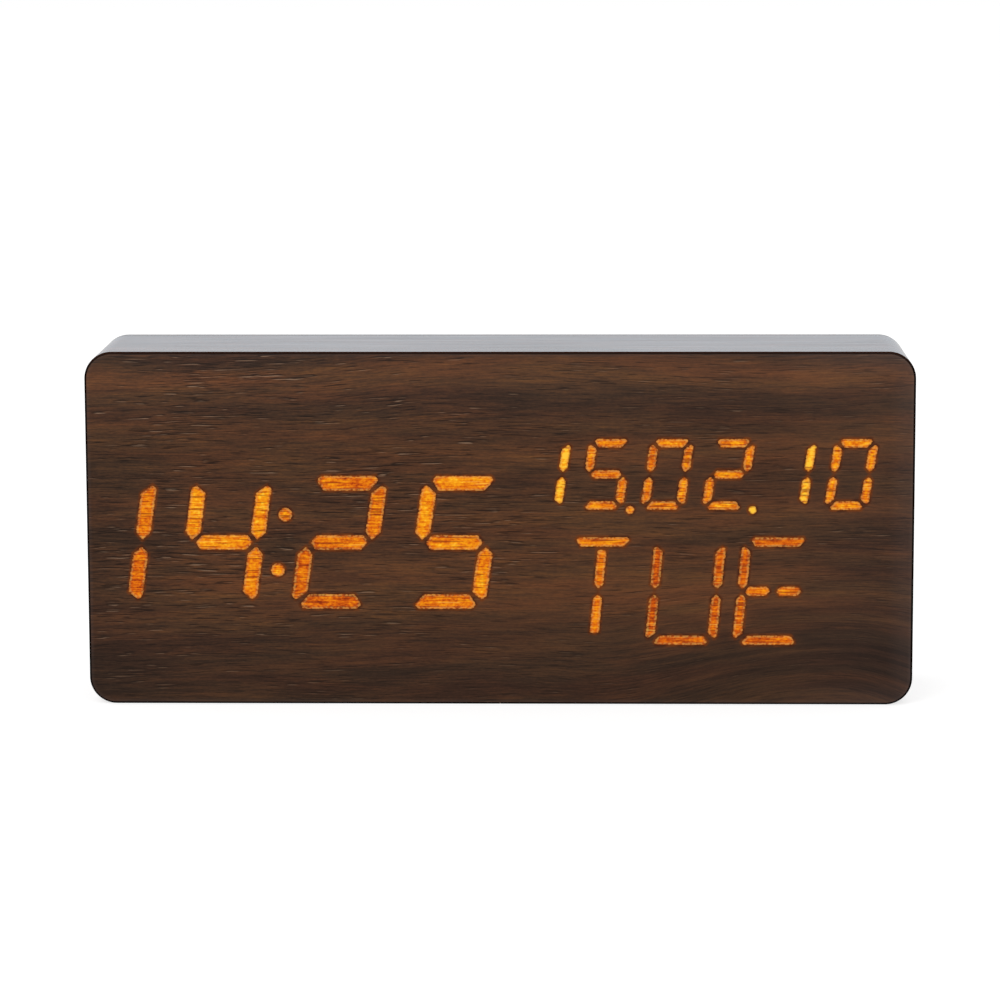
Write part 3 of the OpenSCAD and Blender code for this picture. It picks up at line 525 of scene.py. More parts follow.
    def on_front(self, paint: Paint, colour: Place, wear: Value) -> tuple[Place, Place]:
        """Paints a grey sheen on the front's rim, partly wear, wider at the right end and over the top rows,
        paints the bars' glow onto the wood beside them and lets their light spread.

        Args:
            paint: The material's nodes.
            colour: Colour of the plain wood.
            wear: How worn the edges are.

        Returns:
            The colour and the light.
        """
        place = paint.object_place()
        along, _, height = paint.split(place)
        gap = paint.attribute("gap")
        inward = paint.attribute("inward")
        # Painted sheen: grey along the rim, varied by wear, wider at the right end and faint over the top
        # rows.
        wear_and_sheen_edge = inward.slope(self.wear_and_sheen_edge) * wear
        sheen_end = inward.slope(self.sheen_side) * along.slope_mm(self.sheen_right)
        sheen_top = height.slope_mm(self.sheen_top)
        colour = paint.mix(wear_and_sheen_edge + sheen_end + sheen_top, colour, self.wear_and_sheen_grey)
        # Painted glow: the wood beside the lit bars is coloured warmer, as if lit by them.
        painted_glow = paint.mix(paint.spots(place, self.painted_glow_spots), self.painted_glow_dim, self.painted_glow_bright)
        colour = paint.mix(gap.slope(self.painted_glow_reach), colour, painted_glow)
        colour = paint.mix(paint.attribute("rim"), colour, self.rim)
        spread = gap.slope(self.spread)
        return colour, paint.mix(spread * spread, BLACK, self.light)

    def on_film(self, paint: Paint, colour: Place, wear: Value) -> tuple[Place, Value]:
        """Paints a pale highlight along the film's front edge, broken up by wear, and clouds its gloss,
        which is weaker at the rear edge.

        Args:
            paint: The material's nodes.
            colour: Colour of the plain wood.
            wear: How worn the edges are.

        Returns:
            The colour and the weight of the coat.
        """
        wrap = paint.attribute_place("wrap")
        _, _, across = paint.split(wrap)
        # Painted highlight: a pale band along the film's front edge, broken up by wear.
        colour = paint.mix(across.slope_mm(self.film_highlight_band) * wear, colour, self.film_highlight_grey)
        return colour, self.gloss + paint.sway(wrap, self.haze) + across.slope_mm(self.film_rear)

    def material(self) -> bpy.types.Material:
        """Builds the finish: the wood with its pores, and then what the front or the film has of its own.

        Returns:
            The material.
        """
        paint = Paint(self.name)
        grain = self.grain(paint)
        tone = self.tone(paint, grain)
        ruddy, tawny = (paint.ramp(tone, tuple(zip(self.stops, row))) for row in (self.ruddy, self.tawny))
        colour = paint.mix(paint.spots(grain, self.hue), ruddy, tawny)
        dark, pale = self.pores(paint, grain)
        # Dark pore colour with painted shade, then the painted highlight below the pores.
        colour = paint.mix(dark * self.pore_share, colour, self.pore_dark_and_shade)
        colour = paint.mix(pale * self.pore_highlight_share, colour, self.pore_highlight)
        ember: Place | Colour = BLACK
        coat: Value | float = self.gloss
        worn = paint.spots(paint.object_place(), self.wear)
        wear = worn * self.wear.weight + (1 - self.wear.weight)
        if self.place is GrainPlace.FACE:
            colour, ember = self.on_front(paint, colour, wear)
        else:
            colour, coat = self.on_film(paint, colour, wear)
        return paint.surface(
            Base_Color=colour, Roughness=self.dull + dark * 0.16 - pale * 0.08,
            Normal=paint.bump(0.6 - dark * 0.5, depth=0.05, strength=0.5), Specular_IOR_Level=self.shine,
            Coat_Weight=coat, Coat_Roughness=self.coat_dull, Emission_Color=ember, Emission_Strength=1.0)


@dataclass(frozen=True)
class LitVeneer:
    """Amber light through the veneer: mottled, crossed by dark fibres, and paler along each bar's rim."""

    name: str
    level: float
    core: float
    mottle: float
    tinting: float = 0.5
    streaks: Layer = Layer((6.5, 0.38, 1), 2, 21)
    clouds: Layer = Layer((4, 2.4, 1), 2, 22, 0.55)
    grit: Layer = Layer((0.8, 0.55, 1), 1, 24)
    lines: Layer = Layer((11, 0.6, 1), 1, 23)
    beads: Layer = Layer((0.6, 0.5, 1), 0, 26)
    core_edge: Slope = Slope(0.1, 1.1)
    dark_lines: Slope = Slope(0.58, 0.66, 0, 0.7)
    pale_lines: Slope = Slope(0.27, 0.34, 0.42, 0)
    rim_edge: Slope = Slope(0.2, 0.8, 1, 0)
    rim_beads: Slope = Slope(0.35, 0.6, 0.09, 0.45)
    outer_edge: Slope = Slope(0, 0.44, 1, 0)
    outer_beads: Slope = Slope(0.35, 0.6, 0.78, 0.38)
    glow: Stops = (
        (0.0, shade(108, 30, 2)), (0.2, shade(172, 61, 2)), (0.42, shade(214, 99, 2)),
        (0.64, shade(237, 136, 4)), (0.84, shade(250, 166, 12)), (1.0, shade(255, 198, 52)))
    dark_line: Colour = shade(134, 40, 6)
    pale_line: Colour = shade(255, 190, 74)
    rim: Colour = shade(244, 186, 92)
    edge: Colour = shade(110, 46, 10)
    unlit: Colour = shade(26, 11, 5)

    def material(self) -> bpy.types.Material:
        """Builds the lit finish from the mesh's depth inside a bar and the bar's own tint.

        Returns:
            The material.
        """
        paint = Paint(self.name)
        along, _, across = paint.split(paint.object_place())
        grain = paint.join(along, across, 0.0)
        depth = paint.attribute("depth")
        streaks = paint.sway(grain, self.streaks)
        level = self.level + depth.slope(self.core_edge) * self.core
        level = level + streaks + paint.sway(grain, self.clouds)
        level = level + (paint.attribute("tint") - 0.5) * self.tinting
        light = paint.ramp(level + paint.sway(grain, self.grit) * self.mottle, self.glow)
        lines = paint.noise(grain, self.lines)
        light = paint.mix(lines.slope(self.dark_lines), light, self.dark_line)
        light = paint.mix(lines.slope(self.pale_lines), light, self.pale_line)
        beads = paint.noise(grain, self.beads)
        light = paint.mix(depth.slope(self.rim_edge) * beads.slope(self.rim_beads), light, self.rim)
        light = paint.mix(depth.slope(self.outer_edge) * beads.slope(self.outer_beads), light, self.edge)
        return paint.surface(
            Base_Color=self.unlit, Roughness=0.5 + streaks * 0.2, Specular_IOR_Level=0.06,
            Emission_Color=light, Emission_Strength=1.0)


@dataclass(frozen=True)
class EdgePaint:
    """Dull black paint on the block's front edge, thinner here and there so that the wood's brown shows."""

    name: str
    wear: Layer = Layer((6, 2, 6), 3, 25, 0.4, (0.55, 0.8))
    # Painted light: the top edge, lit from above, takes the browner upper colour.
    lit_top_edge: Slope = Slope(84, 89.6, 0, 0.8)
    black: Colour = shade(12, 4, 2)
    brown: Colour = shade(36, 22, 16)
    upper: Colour = shade(52, 31, 23)

    def material(self) -> bpy.types.Material:
        """Builds the finish, with painted light on the top edge, which is browner where light from above
        falls.

        Returns:
            The material.
        """
        paint = Paint(self.name)
        place = paint.object_place()
        worn = paint.spots(place, self.wear)
        _, _, height = paint.split(place)
        colour = paint.mix(worn * self.wear.weight, self.black, self.brown)
        # Painted light along the top edge.
        colour = paint.mix(height.slope_mm(self.lit_top_edge), colour, self.upper)
        return paint.surface(Base_Color=colour, Roughness=0.85 - worn * 0.15, Specular_IOR_Level=0.0)


@dataclass(frozen=True)
class Moulding:
    """Moulded plastic with a fine spark texture and faint clouding."""

    name: str
    colour: Colour
    pale: Colour
    dull: float = 0.5
    grit: float = 0.35
    depth: float = 0.02
    edge: float = 0.25
    speckle: float = 0.9
    marked: bool = False
    clouds: Layer = Layer((14, 14, 14), 3, 32)
    mark: Colour = shade(205, 202, 196)

    def material(self) -> bpy.types.Material:
        """Builds the finish; a marked one has pale paint where its mesh says so.

        Returns:
            The material.
        """
        paint = Paint(self.name)
        place = paint.object_place()
        sparks = paint.noise(place, Layer((self.grit,) * 3, 2, 31))
        swing = sparks - 0.5
        clouds = paint.sway(place, self.clouds)
        colour = paint.mix(swing * self.speckle + clouds * 0.8 + 0.35, self.colour, self.pale)
        if self.marked:
            colour = paint.mix(paint.attribute("mark"), colour, self.mark)
        return paint.surface(
            Base_Color=colour, Roughness=self.dull + clouds * 0.22 + swing * 0.12,
            Normal=paint.bump(sparks, self.depth, strength=0.6, edge=self.edge))


@dataclass(frozen=True)
class Metal:
    """Plated or bare metal with fine drawn lines along one axis and a few dull spots."""

    name: str
    colour: Colour
    dull: float = 0.3
    lines: Triple = (0.12, 4.0, 0.12)
    marked: bool = False
    spots: Layer = Layer((2.5, 2.5, 2.5), 3, 42, span=(0.55, 0.75))
    dim: Colour = (0.6, 0.58, 0.55, 1.0)
    # Painted shade that darkens the hollows of a marked metal.
    dirt_and_shade: Colour = shade(10, 10, 10)

    def material(self) -> bpy.types.Material:
        """Builds the finish; a marked one has painted shade, a dark colour, in the hollows that its mesh
        names.

        Returns:
            The material.
        """
        paint = Paint(self.name)
        place = paint.object_place()
        lines = paint.noise(place, Layer(self.lines, 2, 41))
        spots = paint.spots(place, self.spots)
        dimmed = tuple(own * share for own, share in zip(self.colour, self.dim))
        colour = paint.mix(spots * 0.5 + (lines - 0.5) * 0.4, self.colour, dimmed)
        rough = self.dull + (lines - 0.5) * 0.25 + spots * 0.15
        if self.marked:
            # Painted shade in the recess that the mesh names, which is also rougher.
            recess_shade = paint.attribute("mark")
            colour = paint.mix(recess_shade * 0.9, colour, self.dirt_and_shade)
            rough = rough + recess_shade * 0.3
        return paint.surface(
            Base_Color=colour, Metallic=1.0, Roughness=rough,
            Normal=paint.bump(lines, depth=0.01, strength=0.4, edge=0.12))


@dataclass(frozen=True)
class Laminate:
    """Circuit board: solder mask over copper tracks that run in two directions, with a faint weave."""

    name: str
    mask: Colour = shade(22, 74, 40)
    track: Colour = shade(40, 108, 58)
    level: Layer = Layer((22, 1, 1.1), 0, 51, span=(0.52, 0.55))
    upright: Layer = Layer((1.1, 1, 22), 0, 52, span=(0.54, 0.57))
    turn: Layer = Layer((9, 1, 9), 0, 53, span=(0.48, 0.52))
    weave: Layer = Layer((0.5, 1, 0.5), 2, 54)

    def material(self) -> bpy.types.Material:
        """Builds the finish.

        Returns:
            The material.
        """
        paint = Paint(self.name)
        place = paint.object_place()
        turn = paint.spots(place, self.turn)
        tracks = paint.spots(place, self.level) * turn + paint.spots(place, self.upright) * (1 - turn)
        weave = paint.sway(place, self.weave)
        return paint.surface(
            Base_Color=paint.mix(tracks * 0.8 + weave * 0.3, self.mask, self.track), Coat_Weight=0.3,
            Roughness=0.32 + weave * 0.2, Normal=paint.bump(tracks, depth=0.03, strength=0.5))


@dataclass(frozen=True)
class Fibreboard:
    """Pressed wood fibres, pale brown with short light and dark flecks."""

    name: str
    flecks: Layer = Layer((0.9, 0.4, 0.4), 3, 61)
    clouds: Layer = Layer((11, 11, 11), 2, 62, 0.25)
    browns: Stops = ((0.25, shade(84, 60, 42)), (0.5, shade(128, 96, 68)), (0.75, shade(164, 130, 96)))

    def material(self) -> bpy.types.Material:
        """Builds the finish.

        Returns:
            The material.
        """
        paint = Paint(self.name)
        place = paint.object_place()
        flecks = paint.noise(place, self.flecks)
        clouds = paint.noise(place, self.clouds)
        tone = flecks * (1 - self.clouds.weight) + clouds * self.clouds.weight
        return paint.surface(
            Base_Color=paint.ramp(tone, self.browns), Roughness=0.8 + (flecks - 0.5) * 0.2,
            Normal=paint.bump(flecks, depth=0.06, strength=0.6))


@dataclass(frozen=True)
class CellJacket:
    """A battery without words: printed foil jacket with plain bands, insulating ring and steel ends."""

    name: str
    scuffs: Layer = Layer((5, 0.5, 0.5), 3, 71)
    clouds: Layer = Layer((8, 8, 8), 2, 72)
    band: Span = (9.0, 10.2)
    tail: float = 36.0
    blur: float = 0.1
    scuffed: Slope = Slope(0.62, 0.78, 0, 0.5)
    green: tuple[Colour, Colour] = (shade(24, 92, 62), shade(34, 112, 74))
    tail_black: Colour = shade(30, 32, 34)
    band_white: Colour = shade(206, 208, 206)
    scuff_grey: Colour = shade(150, 160, 152)
    steel: tuple[Colour, Colour] = (shade(196, 196, 194), shade(150, 150, 148))
    ring_black: Colour = shade(28, 28, 30)

    def material(self) -> bpy.types.Material:
        """Builds the finish from the length along the battery and the zones that its mesh carries.

        Returns:
            The material.
        """
        paint = Paint(self.name)
        place = paint.object_place()
        length = paint.attribute("length")
        jacket = paint.attribute("jacket")
        ring = paint.attribute("ring")
        scuffs = paint.noise(place, self.scuffs)
        starts = (*self.band, self.tail)
        begins, ends, tail = (length.slope(Slope(start, start + self.blur)) for start in starts)
        foil = paint.mix(paint.sway(place, self.clouds) + 0.4, *self.green)
        foil = paint.mix(tail, foil, self.tail_black)
        foil = paint.mix(begins - ends, foil, self.band_white)
        foil = paint.mix(scuffs.slope(self.scuffed), foil, self.scuff_grey)
        steel = paint.mix(scuffs * 0.5, *self.steel)
        return paint.surface(
            Base_Color=paint.mix(ring, paint.mix(jacket, steel, foil), self.ring_black),
            Metallic=(1 - jacket) * (1 - ring), Roughness=0.26 + scuffs * 0.22,
            Normal=paint.bump(scuffs, depth=0.01, strength=0.4), Coat_Weight=jacket * 0.6)


@dataclass(frozen=True)
class FlatCable:
    """Grey flat cable with ridges between its wires, painted darker in the valleys as shade and paler on the
    ridges as light.
    """

    name: str
    pitch: float = 1.27
    dirt_and_shade: Layer = Layer((2, 2, 2), 2, 81)
    valley_shade: Colour = shade(150, 150, 150)
    ridge_lit: Colour = shade(190, 190, 188)

    def material(self) -> bpy.types.Material:
        """Builds the finish; the ridges are a wave across X.

        Returns:
            The material.
        """
        paint = Paint(self.name)
        place = paint.object_place()
        along, _, _ = paint.split(place)
        wave = paint.maths("SINE", along * (2 * math.pi / (self.pitch * MM))) * 0.5 + 0.5
        dirt_and_shade = paint.noise(place, self.dirt_and_shade)
        # Painted shade in the valleys and painted light on the ridges, shifted by the dirt noise.
        return paint.surface(
            Base_Color=paint.mix(wave * 0.5 + dirt_and_shade * 0.3, self.valley_shade, self.ridge_lit),
            Roughness=0.45 + dirt_and_shade * 0.2, Normal=paint.bump(wave, depth=0.2, strength=0.7))


def dress(finish: Finish, *nodes: str) -> bpy.types.Material:
    """Gives CAD nodes a finish.

    Args:
        finish: The finish.
        *nodes: Names of the nodes.

    Returns:
        The finish's material, for pieces that share it.
    """
    material = finish.material()
    for node in nodes:
        slots = frame["nodes"][node].data.materials
        slots.clear()
        slots.append(material)
        LOG.info("%s: dressed in %s", node, material.name)
    return material


# Meshes


def run_along(points: np.ndarray) -> np.ndarray:
    """Gives the length along a row of points from the first to each of them."""
    return np.concatenate([[0.0], np.cumsum(np.linalg.norm(np.diff(points, axis=0), axis=1))])


def unit(rows: np.ndarray) -> np.ndarray:
    """Scales each row to the length 1."""
    return rows / np.linalg.norm(rows, axis=1, keepdims=True)


def ring_angles(steps: int) -> np.ndarray:
    """Gives evenly spaced angles once round a ring."""
    return np.arange(steps) * 2 * math.pi / steps


def quarter_turn(steps: int) -> tuple[np.ndarray, np.ndarray]:
    """Gives the sine and the cosine of even steps from 0 to a right angle."""
    angle = np.linspace(0, RIGHT_ANGLE, steps + 1)
    return np.sin(angle), np.cos(angle)


def quarter(start: tuple[float, float], end: tuple[float, float], steps: int = 6) -> np.ndarray:
    """Rounds a corner by a quarter of an ellipse that leaves start along the first number of the pair.

    Args:
        start: First point, as radius and length.
        end: Last point.
        steps: Number of pieces of the arc.

    Returns:
        The points of the arc.
    """
    sine, cosine = quarter_turn(steps)
    span = np.array(end) - np.array(start)
    return np.array(start) + np.stack([sine, 1 - cosine], -1) * span


def smooth_step(value: np.ndarray, low: float, high: float) -> np.ndarray:
    """Climbs from 0 at low to 1 at high with level ends."""
    share = np.clip((value - low) / (high - low), 0, 1)
    return share * share * (3 - 2 * share)


def stood(flat: np.ndarray, depth: np.ndarray | float) -> np.ndarray:
    """Stands points of X and Z at a depth along Y."""
    return np.stack(np.broadcast_arrays(flat[..., 0], depth, flat[..., 1]), -1)


def turned(centre: np.ndarray, axis: np.ndarray, radii: np.ndarray, lengths: np.ndarray,
           steps: int) -> np.ndarray:
    """Turns a profile round a level axis: each row is a ring at its length along the axis with its radius.

    Args:
        centre: Start of the axis.
        axis: Unit vector of the axis, along X or Y.
        radii: Radius of each row.
        lengths: Length along the axis of each row, or of each row and step.
        steps: Points round each ring.

    Returns:
        Rows, steps and X, Y, Z, with the ring's angle measured from the level side of the axis.
    """
    angle = ring_angles(steps)[:, None]
    side = np.abs(np.cross(axis, UP))
    ring = np.cos(angle) * side + np.sin(angle) * UP
    return centre + radii.reshape(-1, 1, 1) * ring + lengths.reshape(len(lengths), -1, 1) * axis


def linked(name: str, data: bpy.types.ID) -> bpy.types.Object:
    """Makes an object and puts it into the scene.

    Args:
        name: Name of the object.
        data: Its mesh, lamp or camera.

    Returns:
        The object.
    """
    made = bpy.data.objects.new(name, data)
    bpy.context.scene.collection.objects.link(made)
    return made


class Piece:
    """A mesh that grows from grids of points, and is then set in the frame."""

    def __init__(self, name: str) -> None:
        """Starts an empty piece.

        Args:
            name: Name of the piece.
        """
        self.name = name
        self.points: list[np.ndarray] = []
        self.faces: list[list[int]] = []
        self.values: dict[str, list[np.ndarray]] = {}
        self.count = 0

    def grid(self, points: np.ndarray, closed_columns: bool = False, ends: bool = False,
             **values: np.ndarray | float) -> None:
        """Adds a sheet of four-sided faces between rows and columns of points.

        Args:
            points: Rows, columns and X, Y, Z in millimetres.
            closed_columns: Joins the last column to the first.
            ends: Closes the first and the last row with one flat face each.
            **values: Numbers or vectors for the mesh's attributes, spread over the rows and columns.
        """
        rows, columns = points.shape[:2]
        index = self.count + np.arange(rows * columns).reshape(rows, columns)
        upper, below = index[:-1], index[1:]
        quads = np.stack([upper, np.roll(upper, -1, 1), np.roll(below, -1, 1), below], -1)
        if not closed_columns:
            quads = quads[:, :-1]
        self.faces += quads.reshape(-1, 4).tolist()
        if ends:
            self.faces += [index[0].tolist(), index[-1][::-1].tolist()]
        self.points.append(points.reshape(-1, 3))
        for key, value in values.items():
            spread = value if np.ndim(value) == 3 else np.broadcast_to(value, (rows, columns))
            self.values.setdefault(key, []).append(spread.reshape(rows * columns, -1))
        self.count += rows * columns

    def close_last(self, columns: int) -> None:
        """Closes the last row of points, of so many columns, with one flat face."""
        self.faces.append(list(range(self.count - columns, self.count)))

    def cap(self, centre: np.ndarray, inner: np.ndarray, crown: np.ndarray, mark: np.ndarray,
            outer: np.ndarray) -> None:
        """Adds a cap turned about Y: a top whose height changes round each ring, then plain rings below it.

        Args:
            centre: Place of the axis.
            inner: Radius of each ring of the top, outwards.
            crown: Height of each ring and step of the top.
            mark: Share of paint on a key, and of painted shade in a screw's recess, on each ring and step of
                the top.
            outer: Radius and height of each plain ring.
        """
        steps = crown.shape[1]
        radii = np.concatenate([inner, outer[:, 0]])
        heights = np.concatenate([crown, np.repeat(outer[:, 1:], steps, axis=1)])
        marks = np.concatenate([mark, np.zeros((len(outer), steps))])
        self.grid(turned(centre, ALONG_Y, radii, heights, steps), closed_columns=True, mark=marks)

    def place(self, material: bpy.types.Material, body: str, slot: str, *nodes: str) -> None:
        """Makes the mesh, merges its seams, turns its faces outwards and sets it in the frame.

        Args:
            material: Finish of the piece.
            body: CAD body that the piece rides on.
            slot: The record's material slot; not used.
            *nodes: CAD nodes that the piece stands for.
        """
        mesh = bpy.data.meshes.new(self.name)
        mesh.from_pydata((np.concatenate(self.points) * MM).tolist(), [], self.faces)
        for key, parts in self.values.items():
            numbers = np.concatenate(parts)
            kind, item = ("FLOAT_VECTOR", "vector") if numbers.shape[1] == 3 else ("FLOAT", "value")
            mesh.attributes.new(key, kind, "POINT").data.foreach_set(item, numbers.ravel())
        shape = bmesh.new()
        shape.from_mesh(mesh)
        bmesh.ops.remove_doubles(shape, verts=shape.verts, dist=SAME_POINT * MM)
        bmesh.ops.recalc_face_normals(shape, faces=shape.faces)
        shape.to_mesh(mesh)
        shape.free()
        mesh.polygons.foreach_set("use_smooth", np.ones(len(mesh.polygons), bool))
        mesh.set_sharp_from_angle(angle=SMOOTH_ANGLE)
        mesh.materials.append(material)
        made = linked(self.name, mesh)
        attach(made, body)
        if nodes:
            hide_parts(*nodes)
        LOG.info("%s: %d points, %d faces", self.name, len(mesh.vertices), len(mesh.polygons))


# The block's film


@dataclass
class Sleeve:
    """The fibreboard sleeve: a walnut film whose ends meet underneath, and a painted front edge."""

    corner: float = CORNER
    edge: float = 0.4
    wall: float = 5.0
    cover_lap: float = 2.0
    film: float = 0.05
    lift: float = 0.01
    seam: float = 0.25
    side_steps: int = 13
    arc_steps: int = 8
    turn_steps: int = 20

    def film_section(self, front: float, back: float) -> tuple[np.ndarray, np.ndarray]:
        """Draws the film across its width: straight back from the front, round the rear edge and inwards.

        Args:
            front: Depth of the sleeve's front end.
            back: Depth of its rear end.

        Returns:
            Points as distance out from the corner's middle and depth, and the outward direction at each.
        """
        out, forth = quarter_turn(self.arc_steps)
        straight = np.linspace(front + self.edge, back - self.edge, self.side_steps, endpoint=False)
        side = np.stack([np.full_like(straight, self.corner), straight], -1)
        rear_arc = np.stack([self.corner - self.edge * (1 - forth), back - self.edge * (1 - out)], -1)
        lip = [[self.corner - self.wall + self.cover_lap, back]]
        outwards = np.tile([1.0, 0.0], (len(side), 1))
        ways = np.concatenate([outwards, np.stack([forth, out], -1), [[0.0, 1.0]]])
        return np.concatenate([side, rear_arc, lip]), ways

    def edge_section(self, front: float) -> tuple[np.ndarray, np.ndarray]:
        """Draws the painted edge: a quarter turn from the veneer's rim to the film.

        Args:
            front: Depth of the sleeve's front end.

        Returns:
            Points and outward directions, as for the film.
        """
        out, forth = quarter_turn(self.arc_steps)
        points = np.stack([self.corner - self.edge * (1 - out), front + self.edge * (1 - forth)], -1)
        return points, np.stack([out, -forth], -1)

    def path(self, width: float, height: float) -> tuple[np.ndarray, np.ndarray, np.ndarray]:
        """Goes once round the block from the middle of its underside: four quarter turns and straights.

        Args:
            width: Width of the block.
            height: Height of the block.

        Returns:
            Middle of the bend, outward direction and length round the block, for each step of the path.
        """
        half = np.array([width, height]) / 2 - self.corner
        turn = np.linspace(0, RIGHT_ANGLE, self.turn_steps + 1)
        bends = [turn + (k - 1) * RIGHT_ANGLE for k in range(4)]
        angles = np.concatenate([[-RIGHT_ANGLE], *bends, [3 * RIGHT_ANGLE]])
        signs = np.repeat([[1, -1], [1, 1], [-1, 1], [-1, -1]], self.turn_steps + 1, axis=0)
        start = np.array([[self.seam / 2, -half[1]]])
        middles = np.concatenate([start, signs * half, start * [-1, 1]])
        ways = np.stack([np.cos(angles), np.sin(angles)], -1)
        return middles, ways, run_along(middles + self.corner * ways)

    def carry(self, name: str, section: tuple[np.ndarray, np.ndarray], finish: Finish) -> None:
        """Carries a section along the path, outer side and inner side, and closes its two ends.

        Args:
            name: Name of the piece.
            section: Points of the section and their outward directions.
            finish: Finish of the piece.
        """
        low, high = box_mm("casing")
        points, ways = section
        middles, turns, lengths = self.path(high[0] - low[0], high[2] - low[2])
        outer, inner = points + ways * (self.lift + self.film), points + ways * self.lift
        loop = np.concatenate([outer, inner[::-1]])
        width = run_along(points)
        width = np.concatenate([width, width[::-1]])
        middles = middles + [0, (low[2] + high[2]) / 2]
        flat = middles[:, None] + loop[None, :, :1] * turns[:, None]
        wrap = np.stack(np.broadcast_arrays(lengths[:, None], 0.0, width), -1) * MM
        piece = Piece(name)
        piece.grid(stood(flat, loop[:, 1]), closed_columns=True, ends=True, wrap=wrap)
        piece.place(finish.material(), BODY, "sleeve_wrap")

    def build(self) -> None:
        """Builds the film and the painted edge, and dresses the fibreboard under them."""
        low, high = box_mm("casing")
        film = Walnut("walnut_film", GrainPlace.WRAP, gloss=0.93, shine=0.04)
        self.carry("walnut_wrap", self.film_section(low[1], high[1]), film)
        self.carry("painted_edge", self.edge_section(low[1]), EdgePaint("edge_paint"))
        dress(Fibreboard("sleeve_fibreboard"), "casing")


# The front


@dataclass(frozen=True)
class Signs:
    """A row of lit signs: their distance, and how much brighter each is, from right to left."""

    pitch: float
    lifts: tuple[float, ...]


